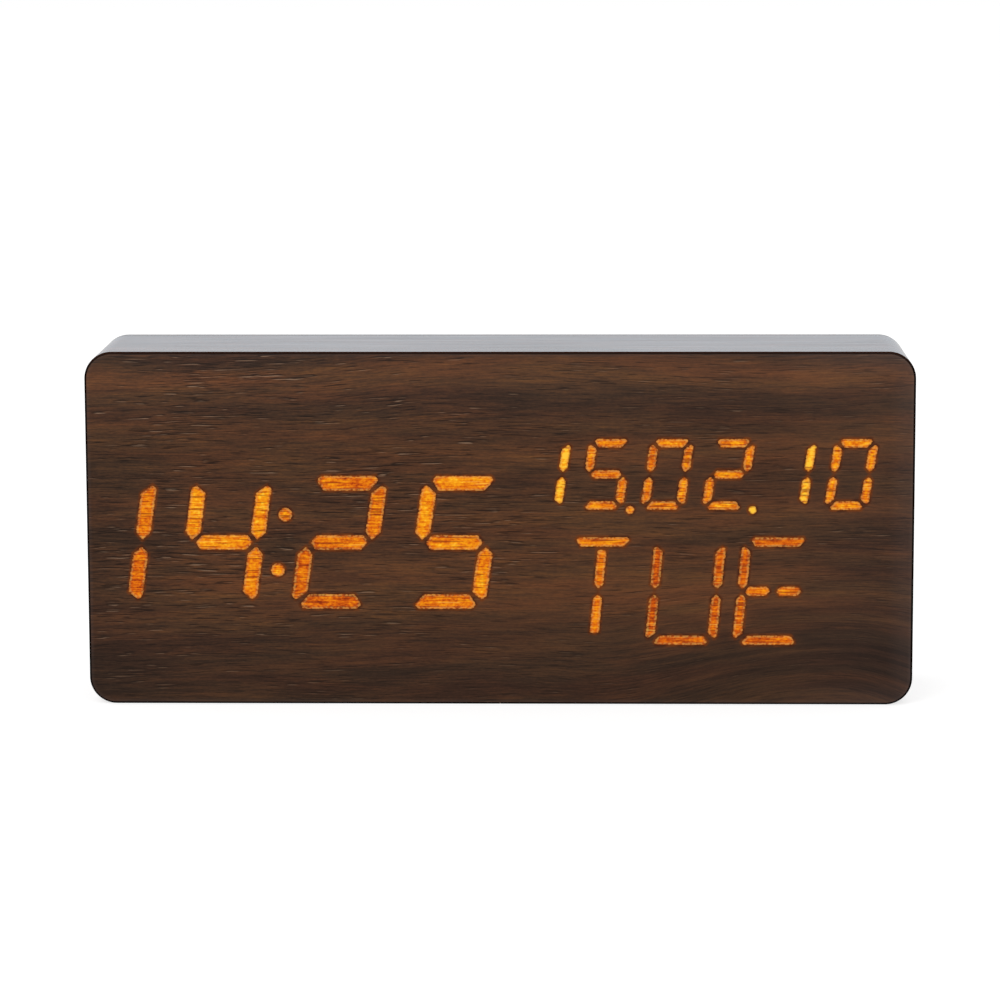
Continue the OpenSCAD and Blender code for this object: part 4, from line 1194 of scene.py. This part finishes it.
@dataclass
class Front:
    """The veneer with the glow on it, and the lit bars of the time, the date and the weekday."""

    corner: float = CORNER
    corner_steps: int = 14
    step: float = 0.5
    rim: tuple[tuple[float, float], ...] = (
        (-0.14, 0.0), (-0.10, 0.0), (-0.03, 0.03), (0.0, 0.10), (0.0, 0.40))
    glow_reach: float = 8.0
    proud: float = 0.03
    sunk: float = 0.15
    same_face: float = 0.01
    most_corners: int = 8
    bar_round: float = 0.45
    round_limit: float = 0.4
    bend_steps: int = 5
    tooth: float = 0.22
    ragged: float = 0.08
    wavy: float = 0.03
    wave: float = 0.9
    rings: tuple[float, ...] = (0.0, 0.35, 0.6, 0.78, 0.9, 1.0)
    seed: int = 7
    spread: float = 0.12
    low_dim: float = 0.4
    top_lift: float = 0.06
    lean: float = 0.14
    slack: float = 0.1
    short: float = 0.6
    short_lift: float = 0.18
    signs: dict[str, Signs] = field(default_factory=lambda: {
        "time_digits": Signs(29.1, (0.2, -0.12, 0.15, -0.18)),
        "date_digits": Signs(15.42, (0.26, 1.0, 0.12, 0.0, -0.02, 0.95)),
        "weekday_letters": Signs(22.1, (0.02, -0.1, 0.3))})
    bars: dict[str, list[np.ndarray]] = field(default_factory=dict)

    def outlines(self, node: str) -> list[np.ndarray]:
        """Reads the outlines of a CAD node's lit bars from its front faces.

        Triangles that share a corner take the smallest label among them until nothing changes, so each bar
        ends with one label; its corners are then sorted by their angle about their middle.

        Args:
            node: Name of the node.

        Returns:
            The corners of each bar as X and Z, against the clock seen from the front.
        """
        mesh = frame["nodes"][node].data
        places = np.zeros(len(mesh.vertices) * 3)
        mesh.vertices.foreach_get("co", places)
        corners = np.zeros(len(mesh.loops), int)
        mesh.loops.foreach_get("vertex_index", corners)
        places = np.round(places.reshape(-1, 3) / MM, 3)
        points, same = np.unique(places, axis=0, return_inverse=True)
        triangles = same.ravel()[corners].reshape(-1, 3)
        front = points[:, 1].min() + self.same_face
        triangles = triangles[(points[triangles, 1] < front).all(1)]
        labels = np.arange(len(points))
        while True:
            lowest = labels.copy()
            np.minimum.at(lowest, triangles.ravel(), np.repeat(labels[triangles].min(1), 3))
            if (lowest == labels).all():
                break
            labels = lowest
        found = []
        for label in np.unique(labels[triangles]):
            used = np.unique(triangles[labels[triangles[:, 0]] == label])
            shape = points[used][:, [0, 2]]
            arms = shape - shape.mean(0)
            found.append(shape[np.argsort(np.arctan2(arms[:, 1], arms[:, 0]))])
        return found

    def inside(self, places: np.ndarray, outline: np.ndarray) -> np.ndarray:
        """Measures how deep points lie inside a convex outline: the least distance to the line of any side.

        Args:
            places: Points as X and Z.
            outline: Corners of the outline, against the clock.

        Returns:
            The depth of each point, below 0 outside.
        """
        ahead = unit(np.roll(outline, -1, 0) - outline)
        arms = places[..., None, :] - outline
        return (ahead[:, 0] * arms[..., 1] - ahead[:, 1] * arms[..., 0]).min(-1)

    def apart(self, places: np.ndarray, outline: np.ndarray) -> np.ndarray:
        """Measures the distance from points to an outline's nearest side.

        Args:
            places: Points as X and Z.
            outline: Corners of the outline.

        Returns:
            The distance of each point.
        """
        ahead = np.roll(outline, -1, 0) - outline
        arms = places[..., None, :] - outline
        share = np.clip((arms * ahead).sum(-1) / (ahead * ahead).sum(-1), 0, 1)
        return np.linalg.norm(arms - share[..., None] * ahead, axis=-1).min(-1)

    def gaps(self, flat: np.ndarray) -> np.ndarray:
        """Measures the distance from points to the nearest lit bar, 0 inside it and large far from all.

        Args:
            flat: Rows and columns of points as X and Z.

        Returns:
            The distance of each point.
        """
        gap = np.full(flat.shape[:2], FAR)
        for outline in [bar for bars in self.bars.values() for bar in bars]:
            reach = np.ptp(outline, axis=0) / 2 + self.glow_reach
            near = (np.abs(flat - outline.mean(0)) < reach).all(-1)
            away = np.where(self.inside(flat[near], outline) > 0, 0, self.apart(flat[near], outline))
            gap[near] = np.minimum(gap[near], away)
        return gap

    def rounded(self, outline: np.ndarray) -> np.ndarray:
        """Rounds an outline's corners: each becomes a curve that leaves its two sides at equal distances.

        Args:
            outline: Corners of a bar; a dot has many and stays as it is.

        Returns:
            The rounded outline.
        """
        if len(outline) > self.most_corners:
            return outline
        back, ahead = np.roll(outline, 1, 0) - outline, np.roll(outline, -1, 0) - outline
        shorter = np.minimum(np.linalg.norm(back, axis=1), np.linalg.norm(ahead, axis=1))
        reach = np.minimum(self.bar_round, self.round_limit * shorter)[:, None]
        start, end = outline + unit(back) * reach, outline + unit(ahead) * reach
        share = np.linspace(0, 1, self.bend_steps)[:, None, None]
        bends = (1 - share) ** 2 * start + 2 * share * (1 - share) * outline + share ** 2 * end
        return bends.transpose(1, 0, 2).reshape(-1, 2)

    def frayed(self, outline: np.ndarray, draws: np.random.Generator) -> np.ndarray:
        """Frays an outline as light does among the fibres.

        Evenly spaced points move along the grain by a ripple drawn for each height, one for the left and one
        for the right side, and across it by a longer wave.

        Args:
            outline: Rounded outline as X and Z.
            draws: Source of the ripples.

        Returns:
            The frayed outline.
        """
        closed = np.concatenate([outline, outline[:1]])
        run = run_along(closed)
        even = np.linspace(0, run[-1], int(run[-1] / self.tooth), endpoint=False)
        points = np.stack([np.interp(even, run, closed[:, 0]), np.interp(even, run, closed[:, 1])], -1)
        low, high = points.min(0), points.max(0)
        rows = np.arange(low[1], high[1] + 1, self.tooth)
        columns = np.arange(low[0], high[0] + self.wave, self.wave)
        ripples = draws.normal(0, self.ragged, (2, len(rows)))
        waves = draws.normal(0, self.wavy, len(columns))
        on_right = np.roll(points[:, 1], -1) > np.roll(points[:, 1], 1)
        left, right = (np.interp(points[:, 1], rows, ripple) for ripple in ripples)
        lifts = np.interp(points[:, 0], columns, waves)
        return points + np.stack([np.where(on_right, right, left), lifts], -1)

    def tint(self, node: str, bar: np.ndarray, draws: np.random.Generator) -> float:
        """Gives a bar's brightness about 0.5: that of its sign, and less low in the time's digits.

        Short bars are a little brighter, as their lamp lights a smaller place.

        Args:
            node: CAD node that the bar is in.
            bar: Corners of the bar.
            draws: Source of the small differences.

        Returns:
            The brightness.
        """
        signs = self.signs[node]
        middles = np.array([each.mean(0) for each in self.bars[node]])
        upright = middles[:, 0] - self.lean * middles[:, 1]
        own = bar.mean(0)
        from_right = (upright.max() - (own[0] - self.lean * own[1])) / signs.pitch
        tint = 0.5 + draws.uniform(-self.spread, self.spread) + signs.lifts[int(from_right + self.slack)]
        if node == "time_digits":
            share = (middles[:, 1].max() - own[1]) / np.ptp(middles[:, 1])
            tint += self.top_lift - self.low_dim * share ** 3
        longest = max(np.ptp(each, axis=0).max() for each in self.bars[node])
        if np.ptp(bar, axis=0).max() < self.short * longest:
            tint += self.short_lift
        return tint

    def build_veneer(self, finish: Finish) -> None:
        """Builds the veneer as a grid whose columns end on the rounded outline, with a rim and a flat back.

        A column's half height is the plate's, less what the rounded corner takes there. Each point carries
        its distance to the nearest lit bar and to the plate's outline.

        Args:
            finish: The walnut finish.
        """
        low, high = box_mm("front_veneer")
        start = self.rim[0][0]
        corner = self.corner - (box_mm("casing")[1][0] - high[0]) + start
        half = (high - low)[[0, 2]] / 2 + start
        middle = np.array([0.0, (low[2] + high[2]) / 2])
        flank = half[0] - corner
        bend = flank + corner * quarter_turn(self.corner_steps)[0]
        straight = np.linspace(-flank, flank, int(2 * flank / self.step))
        x = np.concatenate([-bend[::-1], straight[1:-1], bend])
        over = np.clip(np.abs(x) - flank, 0, corner)
        top = half[1] - corner + np.sqrt(corner ** 2 - over ** 2)
        share = np.linspace(-1, 1, int(2 * half[1] / self.step))
        flat = np.stack(np.broadcast_arrays(x, middle[1] + share[:, None] * top), -1)
        away = np.abs(flat - middle)
        out = np.clip(away - half + corner, 0, None)
        inward = np.minimum((half - away).min(-1), corner - np.hypot(out[..., 0], out[..., 1]))
        piece = Piece("walnut_front")
        piece.grid(stood(flat, low[1]), gap=self.gaps(flat), rim=0.0, inward=inward)
        self.add_rim(piece, flat, low[1])
        piece.place(finish.material(), BODY, "veneer", "front_veneer")

    def add_rim(self, piece: Piece, flat: np.ndarray, front: float) -> None:
        """Adds the veneer's edge: its outline, moved out and back along the rim's steps, closed at the back.

        Args:
            piece: The veneer.
            flat: The grid's rows and columns as X and Z.
            front: Depth of the front face.
        """
        outline = np.concatenate([flat[0, :-1], flat[:-1, -1], flat[-1, :0:-1], flat[:0:-1, 0]])
        ahead = unit(np.roll(outline, -1, 0) - np.roll(outline, 1, 0))
        out = np.stack([ahead[:, 1], -ahead[:, 0]], -1)
        start = self.rim[0][0]
        rows = np.stack([stood(outline + out * (move - start), front + depth) for move, depth in self.rim])
        dark = np.minimum(np.arange(len(rows)), 1.0)[:, None]
        piece.grid(rows, closed_columns=True, gap=FAR, rim=dark, inward=0.0)
        piece.close_last(len(outline))

    def build_bars(self, name: str, node: str, slot: str, material: bpy.types.Material) -> None:
        """Builds lit bars: rings that shrink from a rounded outline to its middle, just proud of the veneer.

        Args:
            name: Name of the piece.
            node: CAD node that it stands for.
            slot: The record's material slot.
            material: The lit finish.
        """
        front = box_mm(node)[0][1]
        draws = np.random.default_rng(self.seed)
        rings = np.array(self.rings)[:, None, None]
        piece = Piece(name)
        for bar in self.bars[node]:
            edge, middle = self.frayed(self.rounded(bar), draws), bar.mean(0)
            flat = np.concatenate([middle + rings * (edge - middle), edge[None]])
            y = np.full(flat.shape[:2], front - self.proud)
            y[-1] = front + self.sunk
            tint = self.tint(node, bar, draws)
            piece.grid(stood(flat, y), closed_columns=True, depth=self.apart(flat, edge), tint=tint)
            piece.close_last(len(edge))
        piece.place(material, BODY, slot, node)

    def build(self) -> None:
        """Builds the veneer and the three groups of bars, and dresses what lies behind them."""
        self.bars = {node: self.outlines(node) for node in self.signs}
        self.build_veneer(Walnut("walnut_veneer", GrainPlace.FACE, dull=0.55))
        amber = LitVeneer("lit_amber", level=0.335, core=0.25, mottle=0.85).material()
        orange = LitVeneer("lit_orange", level=0.25, core=0.16, mottle=0.62).material()
        self.build_bars("time_lights", "time_digits", "lit_amber", amber)
        self.build_bars("date_lights", "date_digits", "lit_amber", amber)
        self.build_bars("weekday_lights", "weekday_letters", "lit_orange", orange)
        dress(Fibreboard("bare_fibreboard"), "front_panel")
        dress(Moulding("milky_film", shade(226, 226, 222), shade(238, 238, 236), dull=0.6, edge=0),
              "diffuser_film")
        dress(Moulding("white_mask", shade(214, 214, 210), shade(232, 232, 228), dull=0.55), "display_mask")
        dress(Moulding("lamp_resin", shade(214, 140, 40), shade(236, 176, 80), dull=0.25, edge=0.1),
              "segment_lamps")


# The back


class Mark(Enum):
    """Sign in the top of a key."""

    DOT = "dot"
    UP = "triangle that points up"
    DOWN = "triangle that points down"


@dataclass
class Key:
    """A round key with a softened rim, a faintly dished top, a painted sign, and flange and stem inside."""

    node: str
    body: str
    mark: Mark
    width: float = 9.0
    flange: float = 11.0
    flange_depth: float = 4.3
    flange_long: float = 1.0
    stem: float = 4.0
    soft: float = 0.45
    dish: float = 0.18
    mark_deep: float = 0.22
    mark_soft: float = 0.05
    mark_size: float = 2.34
    dot_size: float = 1.08
    steps: int = 96
    top_rows: int = 44

    def sign(self, across: np.ndarray, up: np.ndarray) -> np.ndarray:
        """Measures the distance to the sign, below 0 inside it.

        A triangle is the largest of the distances to its three sides, a dot the distance to its rim.

        Args:
            across: Places along X from the key's middle.
            up: Places along Z from the key's middle.

        Returns:
            The distance in millimetres.
        """
        if self.mark is Mark.DOT:
            return np.hypot(across, up) - self.dot_size
        rise = up if self.mark is Mark.UP else -up
        sides = [math.radians(angle) for angle in (30, 150, 270)]
        away = [across * math.cos(side) + rise * math.sin(side) for side in sides]
        return np.max(away, axis=0) - self.mark_size / 2

    def build(self, material: bpy.types.Material) -> None:
        """Turns the key's profile, with the sign pressed into its top.

        Args:
            material: Finish of the key.
        """
        low, high = box_mm(self.node)
        bottom, top = low[1], high[1]
        radius, flange, stem = self.width / 2, self.flange / 2, self.stem / 2
        flat = radius - self.soft
        inner = np.linspace(0, flat, self.top_rows)
        angle = ring_angles(self.steps)
        across, up = inner[:, None] * np.cos(angle), inner[:, None] * np.sin(angle)
        press = 1 - smooth_step(self.sign(across, up), -self.mark_soft, self.mark_soft)
        dish = self.dish * (1 - (inner / flat) ** 2)
        crown = top - dish[:, None] - self.mark_deep * press
        ledge = top - self.flange_depth
        under = ledge - self.flange_long
        rim = quarter((flat, top), (radius, top - self.soft))[1:]
        lower = [(radius, ledge), (flange, ledge), (flange, under), (stem, under), (stem, bottom)]
        piece = Piece(self.node + "_cap")
        outer = np.concatenate([rim, lower, [(0, bottom)]])
        piece.cap((low + high) / 2 * [1, 0, 1], inner, crown, press, outer)
        piece.place(material, self.body, "key_black", self.node)


@dataclass
class CoverScrews:
    """Four pan-head screws with a cross recess."""

    head: float = 5.2
    head_high: float = 1.4
    shank: float = 2.6
    dome: float = 0.35
    rim_drop: float = 0.28
    soft: float = 0.3
    slot_long: float = 3.4
    slot_wide: float = 0.75
    slot_deep: float = 0.7
    slot_soft: float = 0.06
    slot_turn: float = 36.0
    steps: int = 120
    rows: int = 40
    rim_steps: int = 4

    def recess(self, radii: np.ndarray) -> np.ndarray:
        """Gives the share of the cross's depth: two crossed bars, each the larger of its two side distances.

        Args:
            radii: Radius of each ring of the head.

        Returns:
            The share at each ring and step.
        """
        angle = ring_angles(self.steps) + math.radians(self.slot_turn)
        across, up = np.abs(radii[:, None] * np.cos(angle)), np.abs(radii[:, None] * np.sin(angle))
        level = np.maximum(across - self.slot_long / 2, up - self.slot_wide / 2)
        upright = np.maximum(up - self.slot_long / 2, across - self.slot_wide / 2)
        return 1 - smooth_step(np.minimum(level, upright), -self.slot_soft, self.slot_soft)

    def build(self, material: bpy.types.Material) -> None:
        """Turns a domed head and a shank at each corner of the node's box.

        Args:
            material: Finish of the screws.
        """
        low, high = box_mm("rear_cover_screws")
        bottom, top = low[1], high[1]
        radius, shank = self.head / 2, self.shank / 2
        inner = np.linspace(0, radius - self.soft, self.rows)
        recess = self.recess(inner)
        crown = top - self.dome * (inner[:, None] / radius) ** 2 - self.slot_deep * recess
        seat = top - self.head_high
        side = top - self.dome - self.soft
        rim = quarter((inner[-1], top - self.rim_drop), (radius, side), self.rim_steps)[1:]
        outer = np.concatenate([rim, [(radius, seat), (shank, seat), (shank, bottom), (0, bottom)]])
        piece = Piece("cover_screw_heads")
        for x in (low[0] + radius, high[0] - radius):
            for z in (low[2] + radius, high[2] - radius):
                # The recess share also marks where the metal paints shade in the hollow.
                piece.cap(np.array([x, 0.0, z]), inner, crown, recess, outer)
        piece.place(material, BODY, "screw_black", "rear_cover_screws")


@dataclass
class Rear:
    """The recessed rear cover with its door, keys, screws and sockets."""

    keys: tuple[Key, ...] = (
        Key("set_button", "set_key", Mark.DOT), Key("up_button", "up_key", Mark.UP),
        Key("down_button", "down_key", Mark.DOWN))

    def build(self) -> None:
        """Builds keys and screws and dresses the cover and what shows through it."""
        cover = Moulding("black_cover", shade(30, 27, 26), shade(54, 50, 47), grit=0.7, depth=0.1,
                         speckle=2.2)
        dress(cover, "rear_cover", "battery_door")
        satin = Moulding("satin_key", shade(36, 33, 32), shade(52, 48, 46), dull=0.38, grit=0.2, depth=0.01,
                         edge=0, marked=True).material()
        for key in self.keys:
            key.build(satin)
        CoverScrews().build(Metal("black_oxide", shade(84, 82, 80), dull=0.4, marked=True).material())
        dress(Moulding("socket_black", shade(22, 22, 23), shade(34, 34, 35), dull=0.28, depth=0.008),
              "power_socket")
        dress(Metal("nickel", shade(196, 190, 178), dull=0.24), "socket_pin")


# Batteries


@dataclass
class BatteryBay:
    """Three batteries, their springs and plates, and the two leads."""

    numbers: tuple[int, ...] = (1, 2, 3)
    turned_round: int = 2
    radius: float = 5.25
    button: float = 1.9
    button_long: float = 0.8
    button_soft: float = 0.4
    cap: float = 3.6
    ring: float = 4.5
    ring_sunk: float = 0.2
    line: float = 0.02
    curl: float = 0.5
    curl_steps: int = 6
    button_curl: Span = (0.3, 1.57)
    foot_curl: Span = (0.0, 1.57)
    side_shares: Span = (0.1, 0.95)
    lip: tuple[tuple[float, float], ...] = ((0.1, 0.8), (0.25, 1.57))
    foot: float = 4.4
    foot_sunk: float = 0.15
    foot_wide: float = 0.9
    foot_slope: float = 0.2
    side_steps: int = 12
    steps: int = 64
    spring_radius: float = 3.0
    spring_turns: int = 3
    spring_long: float = 4.0
    wire: float = 0.5
    wire_gap: float = 0.05
    wire_sides: int = 12
    turn_steps: int = 40

    def stance(self, number: int) -> tuple[np.ndarray, np.ndarray, float]:
        """Gives the place of a battery; one of the three is turned round.

        Args:
            number: Number of the battery.

        Returns:
            The middles of its button's end and of its foot, and 1 or -1 as its way along X.
        """
        low, high = box_mm(f"battery_{number}")
        way = -1.0 if number == self.turned_round else 1.0
        reach = np.array([way * (high[0] - low[0]) / 2, 0.0, 0.0])
        return (low + high) / 2 - reach, (low + high) / 2 + reach, way

    def build_battery(self, number: int, material: bpy.types.Material) -> None:
        """Turns a battery's profile: button, cap, insulating ring, jacket curled over both ends, and foot.

        Args:
            number: Number of the battery.
            material: The jacket's finish.
        """
        start, end, way = self.stance(number)
        long = abs(end[0] - start[0])
        button, soft, curl, inner = self.button, self.button_soft, self.curl, self.radius - self.curl
        shelf = self.button_long + self.ring_sunk
        groove = long - self.foot_sunk
        base = self.foot - self.foot_wide
        steel = [(0, 0), (button - soft, 0), (button - soft / 4, soft / 4), (button, soft), (button, shelf),
                 (self.cap, shelf)]
        ring = [(self.cap + self.line, shelf), (self.ring, shelf)]
        jacket = [(self.ring, shelf)]
        jacket += [(self.ring + out, shelf - self.ring_sunk * math.sin(k)) for out, k in self.lip]
        jacket += [(inner + curl * math.sin(k), self.button_long + curl - curl * math.cos(k))
                   for k in np.linspace(*self.button_curl, self.curl_steps)]
        jacket += [(self.radius, long * share) for share in np.linspace(*self.side_shares, self.side_steps)]
        jacket += [(inner + curl * math.cos(k), long - curl + curl * math.sin(k))
                   for k in np.linspace(*self.foot_curl, self.curl_steps)]
        jacket += [(self.foot, long)]
        foot = [(self.foot - self.line, groove), (base, groove), (base - self.foot_slope, long), (0, long)]
        profile = np.array(steel + ring + jacket + foot)
        counts = [len(zone) for zone in (steel, ring, jacket, foot)]
        in_ring, in_jacket = (np.repeat(row, counts)[:, None] for row in ([0.0, 1, 0, 0], [0.0, 0, 1, 0]))
        piece = Piece(f"battery_{number}_cell")
        shape = turned(start, np.array([way, 0.0, 0.0]), profile[:, 0], profile[:, 1], self.steps)
        piece.grid(shape, closed_columns=True, length=profile[:, 1:], jacket=in_jacket, ring=in_ring)
        piece.place(material, BODY, "cell_jacket", f"battery_{number}")

    def build_springs(self, material: bpy.types.Material) -> None:
        """Carries a round wire along a helix from the foot of each battery to its plate.

        A point of the helix lies at the spring's radius, at an angle that grows evenly with the length along
        X. The wire's ring stands square to the helix, between the way out from the axis and the third way.

        Args:
            material: Finish of the wire.
        """
        share = np.linspace(0, 1, self.spring_turns * self.turn_steps + 1)
        angle = share * 2 * math.pi * self.spring_turns
        rise = self.wire / 2 + self.wire_gap
        out = np.stack([np.zeros_like(angle), np.sin(angle), -np.cos(angle)], -1)
        path = out * self.spring_radius
        path[:, 0] = rise + (self.spring_long - 2 * rise) * share
        third = np.cross(unit(np.gradient(path, axis=0)), out)
        ring = ring_angles(self.wire_sides)[:, None]
        tube = path[:, None] + self.wire / 2 * (np.cos(ring) * out[:, None] + np.sin(ring) * third[:, None])
        piece = Piece("contact_springs")
        for number in self.numbers:
            _, end, way = self.stance(number)
            piece.grid(end + tube * [way, way, 1.0], closed_columns=True, ends=True)
        piece.place(material, BODY, "contact_nickel", "battery_springs")

    def build(self) -> None:
        """Builds batteries and springs, and dresses the plates and leads."""
        jacket = CellJacket("printed_jacket").material()
        for number in self.numbers:
            self.build_battery(number, jacket)
        nickel = Metal("contact_nickel", shade(200, 196, 188), dull=0.22, lines=(4.0, 0.12, 0.12))
        self.build_springs(dress(nickel, "battery_plates"))
        for name, dark, pale, node in (
                ("red_lead", shade(168, 26, 24), shade(190, 44, 40), "positive_lead"),
                ("black_lead", shade(24, 24, 25), shade(40, 40, 41), "negative_lead")):
            dress(Moulding(name, dark, pale, dull=0.42, edge=0), node)


# Circuit boards


@dataclass
class Boards:
    """The two circuit boards and the parts on them, all inside the block."""

    def build(self) -> None:
        """Dresses the boards and their parts."""
        dress(Laminate("board_laminate"), "main_board", "control_board")
        dress(Metal("zinc_steel", shade(190, 190, 192)),
              "main_board_screws", "control_board_screws", "clock_crystal", "coin_cell")
        dress(Metal("drawn_can", shade(205, 205, 206), dull=0.34), "microphone")
        dress(Moulding("chip_compound", shade(26, 26, 27), shade(44, 44, 45), dull=0.6, grit=0.15),
              "controller_chip", "driver_chips")
        dress(Moulding("black_nylon", shade(24, 24, 25), shade(38, 38, 39), dull=0.45),
              "coin_cell_holder", "switch_bodies", "buzzer")
        dress(Moulding("shrink_sleeve", shade(22, 30, 74), shade(36, 46, 98), dull=0.35), "capacitor")
        dress(Moulding("ivory_plunger", shade(222, 216, 196), shade(236, 232, 216), dull=0.4),
              "set_plunger", "up_plunger", "down_plunger")
        dress(Moulding("resin_bead", shade(122, 62, 34), shade(146, 82, 48), dull=0.2, edge=0),
              "temperature_sensor")
        dress(FlatCable("grey_flat_cable"), "ribbon_cable")
        dress(Moulding("white_nylon", shade(218, 214, 202), shade(234, 231, 222), dull=0.45), "ribbon_plugs")


# Studio


@dataclass
class Viewpoint:
    """The camera: its place in millimetres, its turns in degrees and its focal length in picture widths."""

    place: Triple = (24.1, -1000.0, 204.57)
    down: float = 8.818
    turn: float = 1.401
    roll: float = -0.173
    focal: float = 3.932
    sensor: float = 36.0
    sight: float = 100.0

    def build(self) -> None:
        """Sets up the camera: rolled about its view, tipped up from looking down, then turned about Z."""
        camera = bpy.data.cameras.new("camera")
        camera.sensor_width = self.sensor
        camera.lens = self.focal * self.sensor
        camera.clip_end = self.sight
        seen = linked("camera", camera)
        turns = ((self.turn, "Z"), (90 - self.down, "X"), (self.roll, "Z"))
        turn, tip, roll = (Matrix.Rotation(math.radians(angle), 4, axis) for angle, axis in turns)
        seen.matrix_world = Matrix.Translation(Vector(self.place) * MM) @ turn @ tip @ roll
        bpy.context.scene.camera = seen


@dataclass(frozen=True)
class Lamp:
    """A square soft lamp: its name, place and side in metres, and power in watts."""

    name: str
    place: Triple
    size: float
    power: float


@dataclass
class Studio:
    """White surroundings, a white floor that keeps the shadow, and soft lamps."""

    ambient: float = 0.72
    cool: Colour = (0.87, 0.93, 1.0, 1.0)
    floor_lit: Colour = (0.8, 0.8, 0.8, 1.0)
    floor_seen: Colour = (0.45, 0.45, 0.45, 1.0)
    floor_glow: float = 0.70
    floor_size: float = 12.0
    floor_drop: float = 0.0001
    aim: Triple = (0.0, 0.0, 0.045)
    lamps: tuple[Lamp, ...] = (
        Lamp("over_left", (-0.55, -0.85, 1.0), 0.9, 6.5), Lamp("over_back", (0.35, 0.9, 1.2), 0.6, 3.0))

    def shown(self, paint: Paint, lit: bpy.types.Node, seen: bpy.types.Node) -> Place:
        """Blends two shaders, so that rays from the camera, a mirror or through glass meet the second.

        Args:
            paint: The material's or the world's nodes.
            lit: Shader that lights the object.
            seen: Shader that shows.

        Returns:
            The blended shader.
        """
        rays = paint.node("ShaderNodeLightPath").outputs
        kinds = [Value(paint, rays[f"Is {kind} Ray"]) for kind in ("Camera", "Glossy", "Transmission")]
        share = reduce(Value.__add__, kinds).slope(Slope(0.0, 1.0))
        sockets = {0: share, 1: lit.outputs[0], 2: seen.outputs[0]}
        return paint.node("ShaderNodeMixShader", {}, sockets).outputs[0]

    def build_world(self) -> None:
        """Makes the surroundings: white where seen, faintly cool in reflections, dimmer as light."""
        paint = Paint("white_room", world=True)
        mirrored = Value(paint, paint.node("ShaderNodeLightPath").outputs["Is Glossy Ray"])
        colour = paint.mix(mirrored, WHITE, self.cool)
        lit = paint.node("ShaderNodeBackground", {}, {"Color": WHITE, "Strength": self.ambient})
        seen = paint.node("ShaderNodeBackground", {}, {"Color": colour, "Strength": 1.0})
        paint.node("ShaderNodeOutputWorld", {}, {"Surface": self.shown(paint, lit, seen)})
        bpy.context.scene.world = paint.owner

    def build_floor(self) -> None:
        """Lays the floor, which looks white in the open and grey in the object's shadow."""
        paint = Paint("white_floor")
        lit = paint.node("ShaderNodeBsdfDiffuse", {}, {"Color": self.floor_lit})
        pale = paint.node("ShaderNodeBsdfDiffuse", {}, {"Color": self.floor_seen})
        glow = paint.node("ShaderNodeEmission", {}, {"Color": WHITE, "Strength": self.floor_glow})
        seen = paint.node("ShaderNodeAddShader", {}, {0: pale.outputs[0], 1: glow.outputs[0]})
        paint.node("ShaderNodeOutputMaterial", {}, {"Surface": self.shown(paint, lit, seen)})
        half, low = self.floor_size / 2, -self.floor_drop
        corners = [(-half, -half, low), (half, -half, low), (half, half, low), (-half, half, low)]
        mesh = bpy.data.meshes.new("floor")
        mesh.from_pydata(corners, [], [(0, 1, 2, 3)])
        mesh.materials.append(paint.owner)
        floor = linked("floor", mesh)

    def hang(self, lamp: Lamp) -> None:
        """Hangs a lamp so that it looks at the clock.

        Args:
            lamp: The lamp.
        """
        light = bpy.data.lights.new(lamp.name, "AREA")
        light.shape = "SQUARE"
        light.size = lamp.size
        light.energy = lamp.power
        hung = linked(lamp.name, light)
        hung.location = lamp.place
        hung.rotation_euler = (Vector(self.aim) - Vector(lamp.place)).to_track_quat("-Z", "Y").to_euler()

    def build(self) -> None:
        """Builds surroundings, floor and lamps, and the plain view of the colours."""
        bpy.context.scene.view_settings.view_transform = "Standard"
        self.build_world()
        self.build_floor()
        for lamp in self.lamps:
            self.hang(lamp)


def main() -> None:
    """Builds the clock's looks in order."""
    logging.basicConfig(level=logging.INFO, format="%(message)s")
    for part in (Studio(), Viewpoint(), Sleeve(), Front(), Rear(), BatteryBay(), Boards()):
        part.build()


if __name__ == "__main__":
    main()
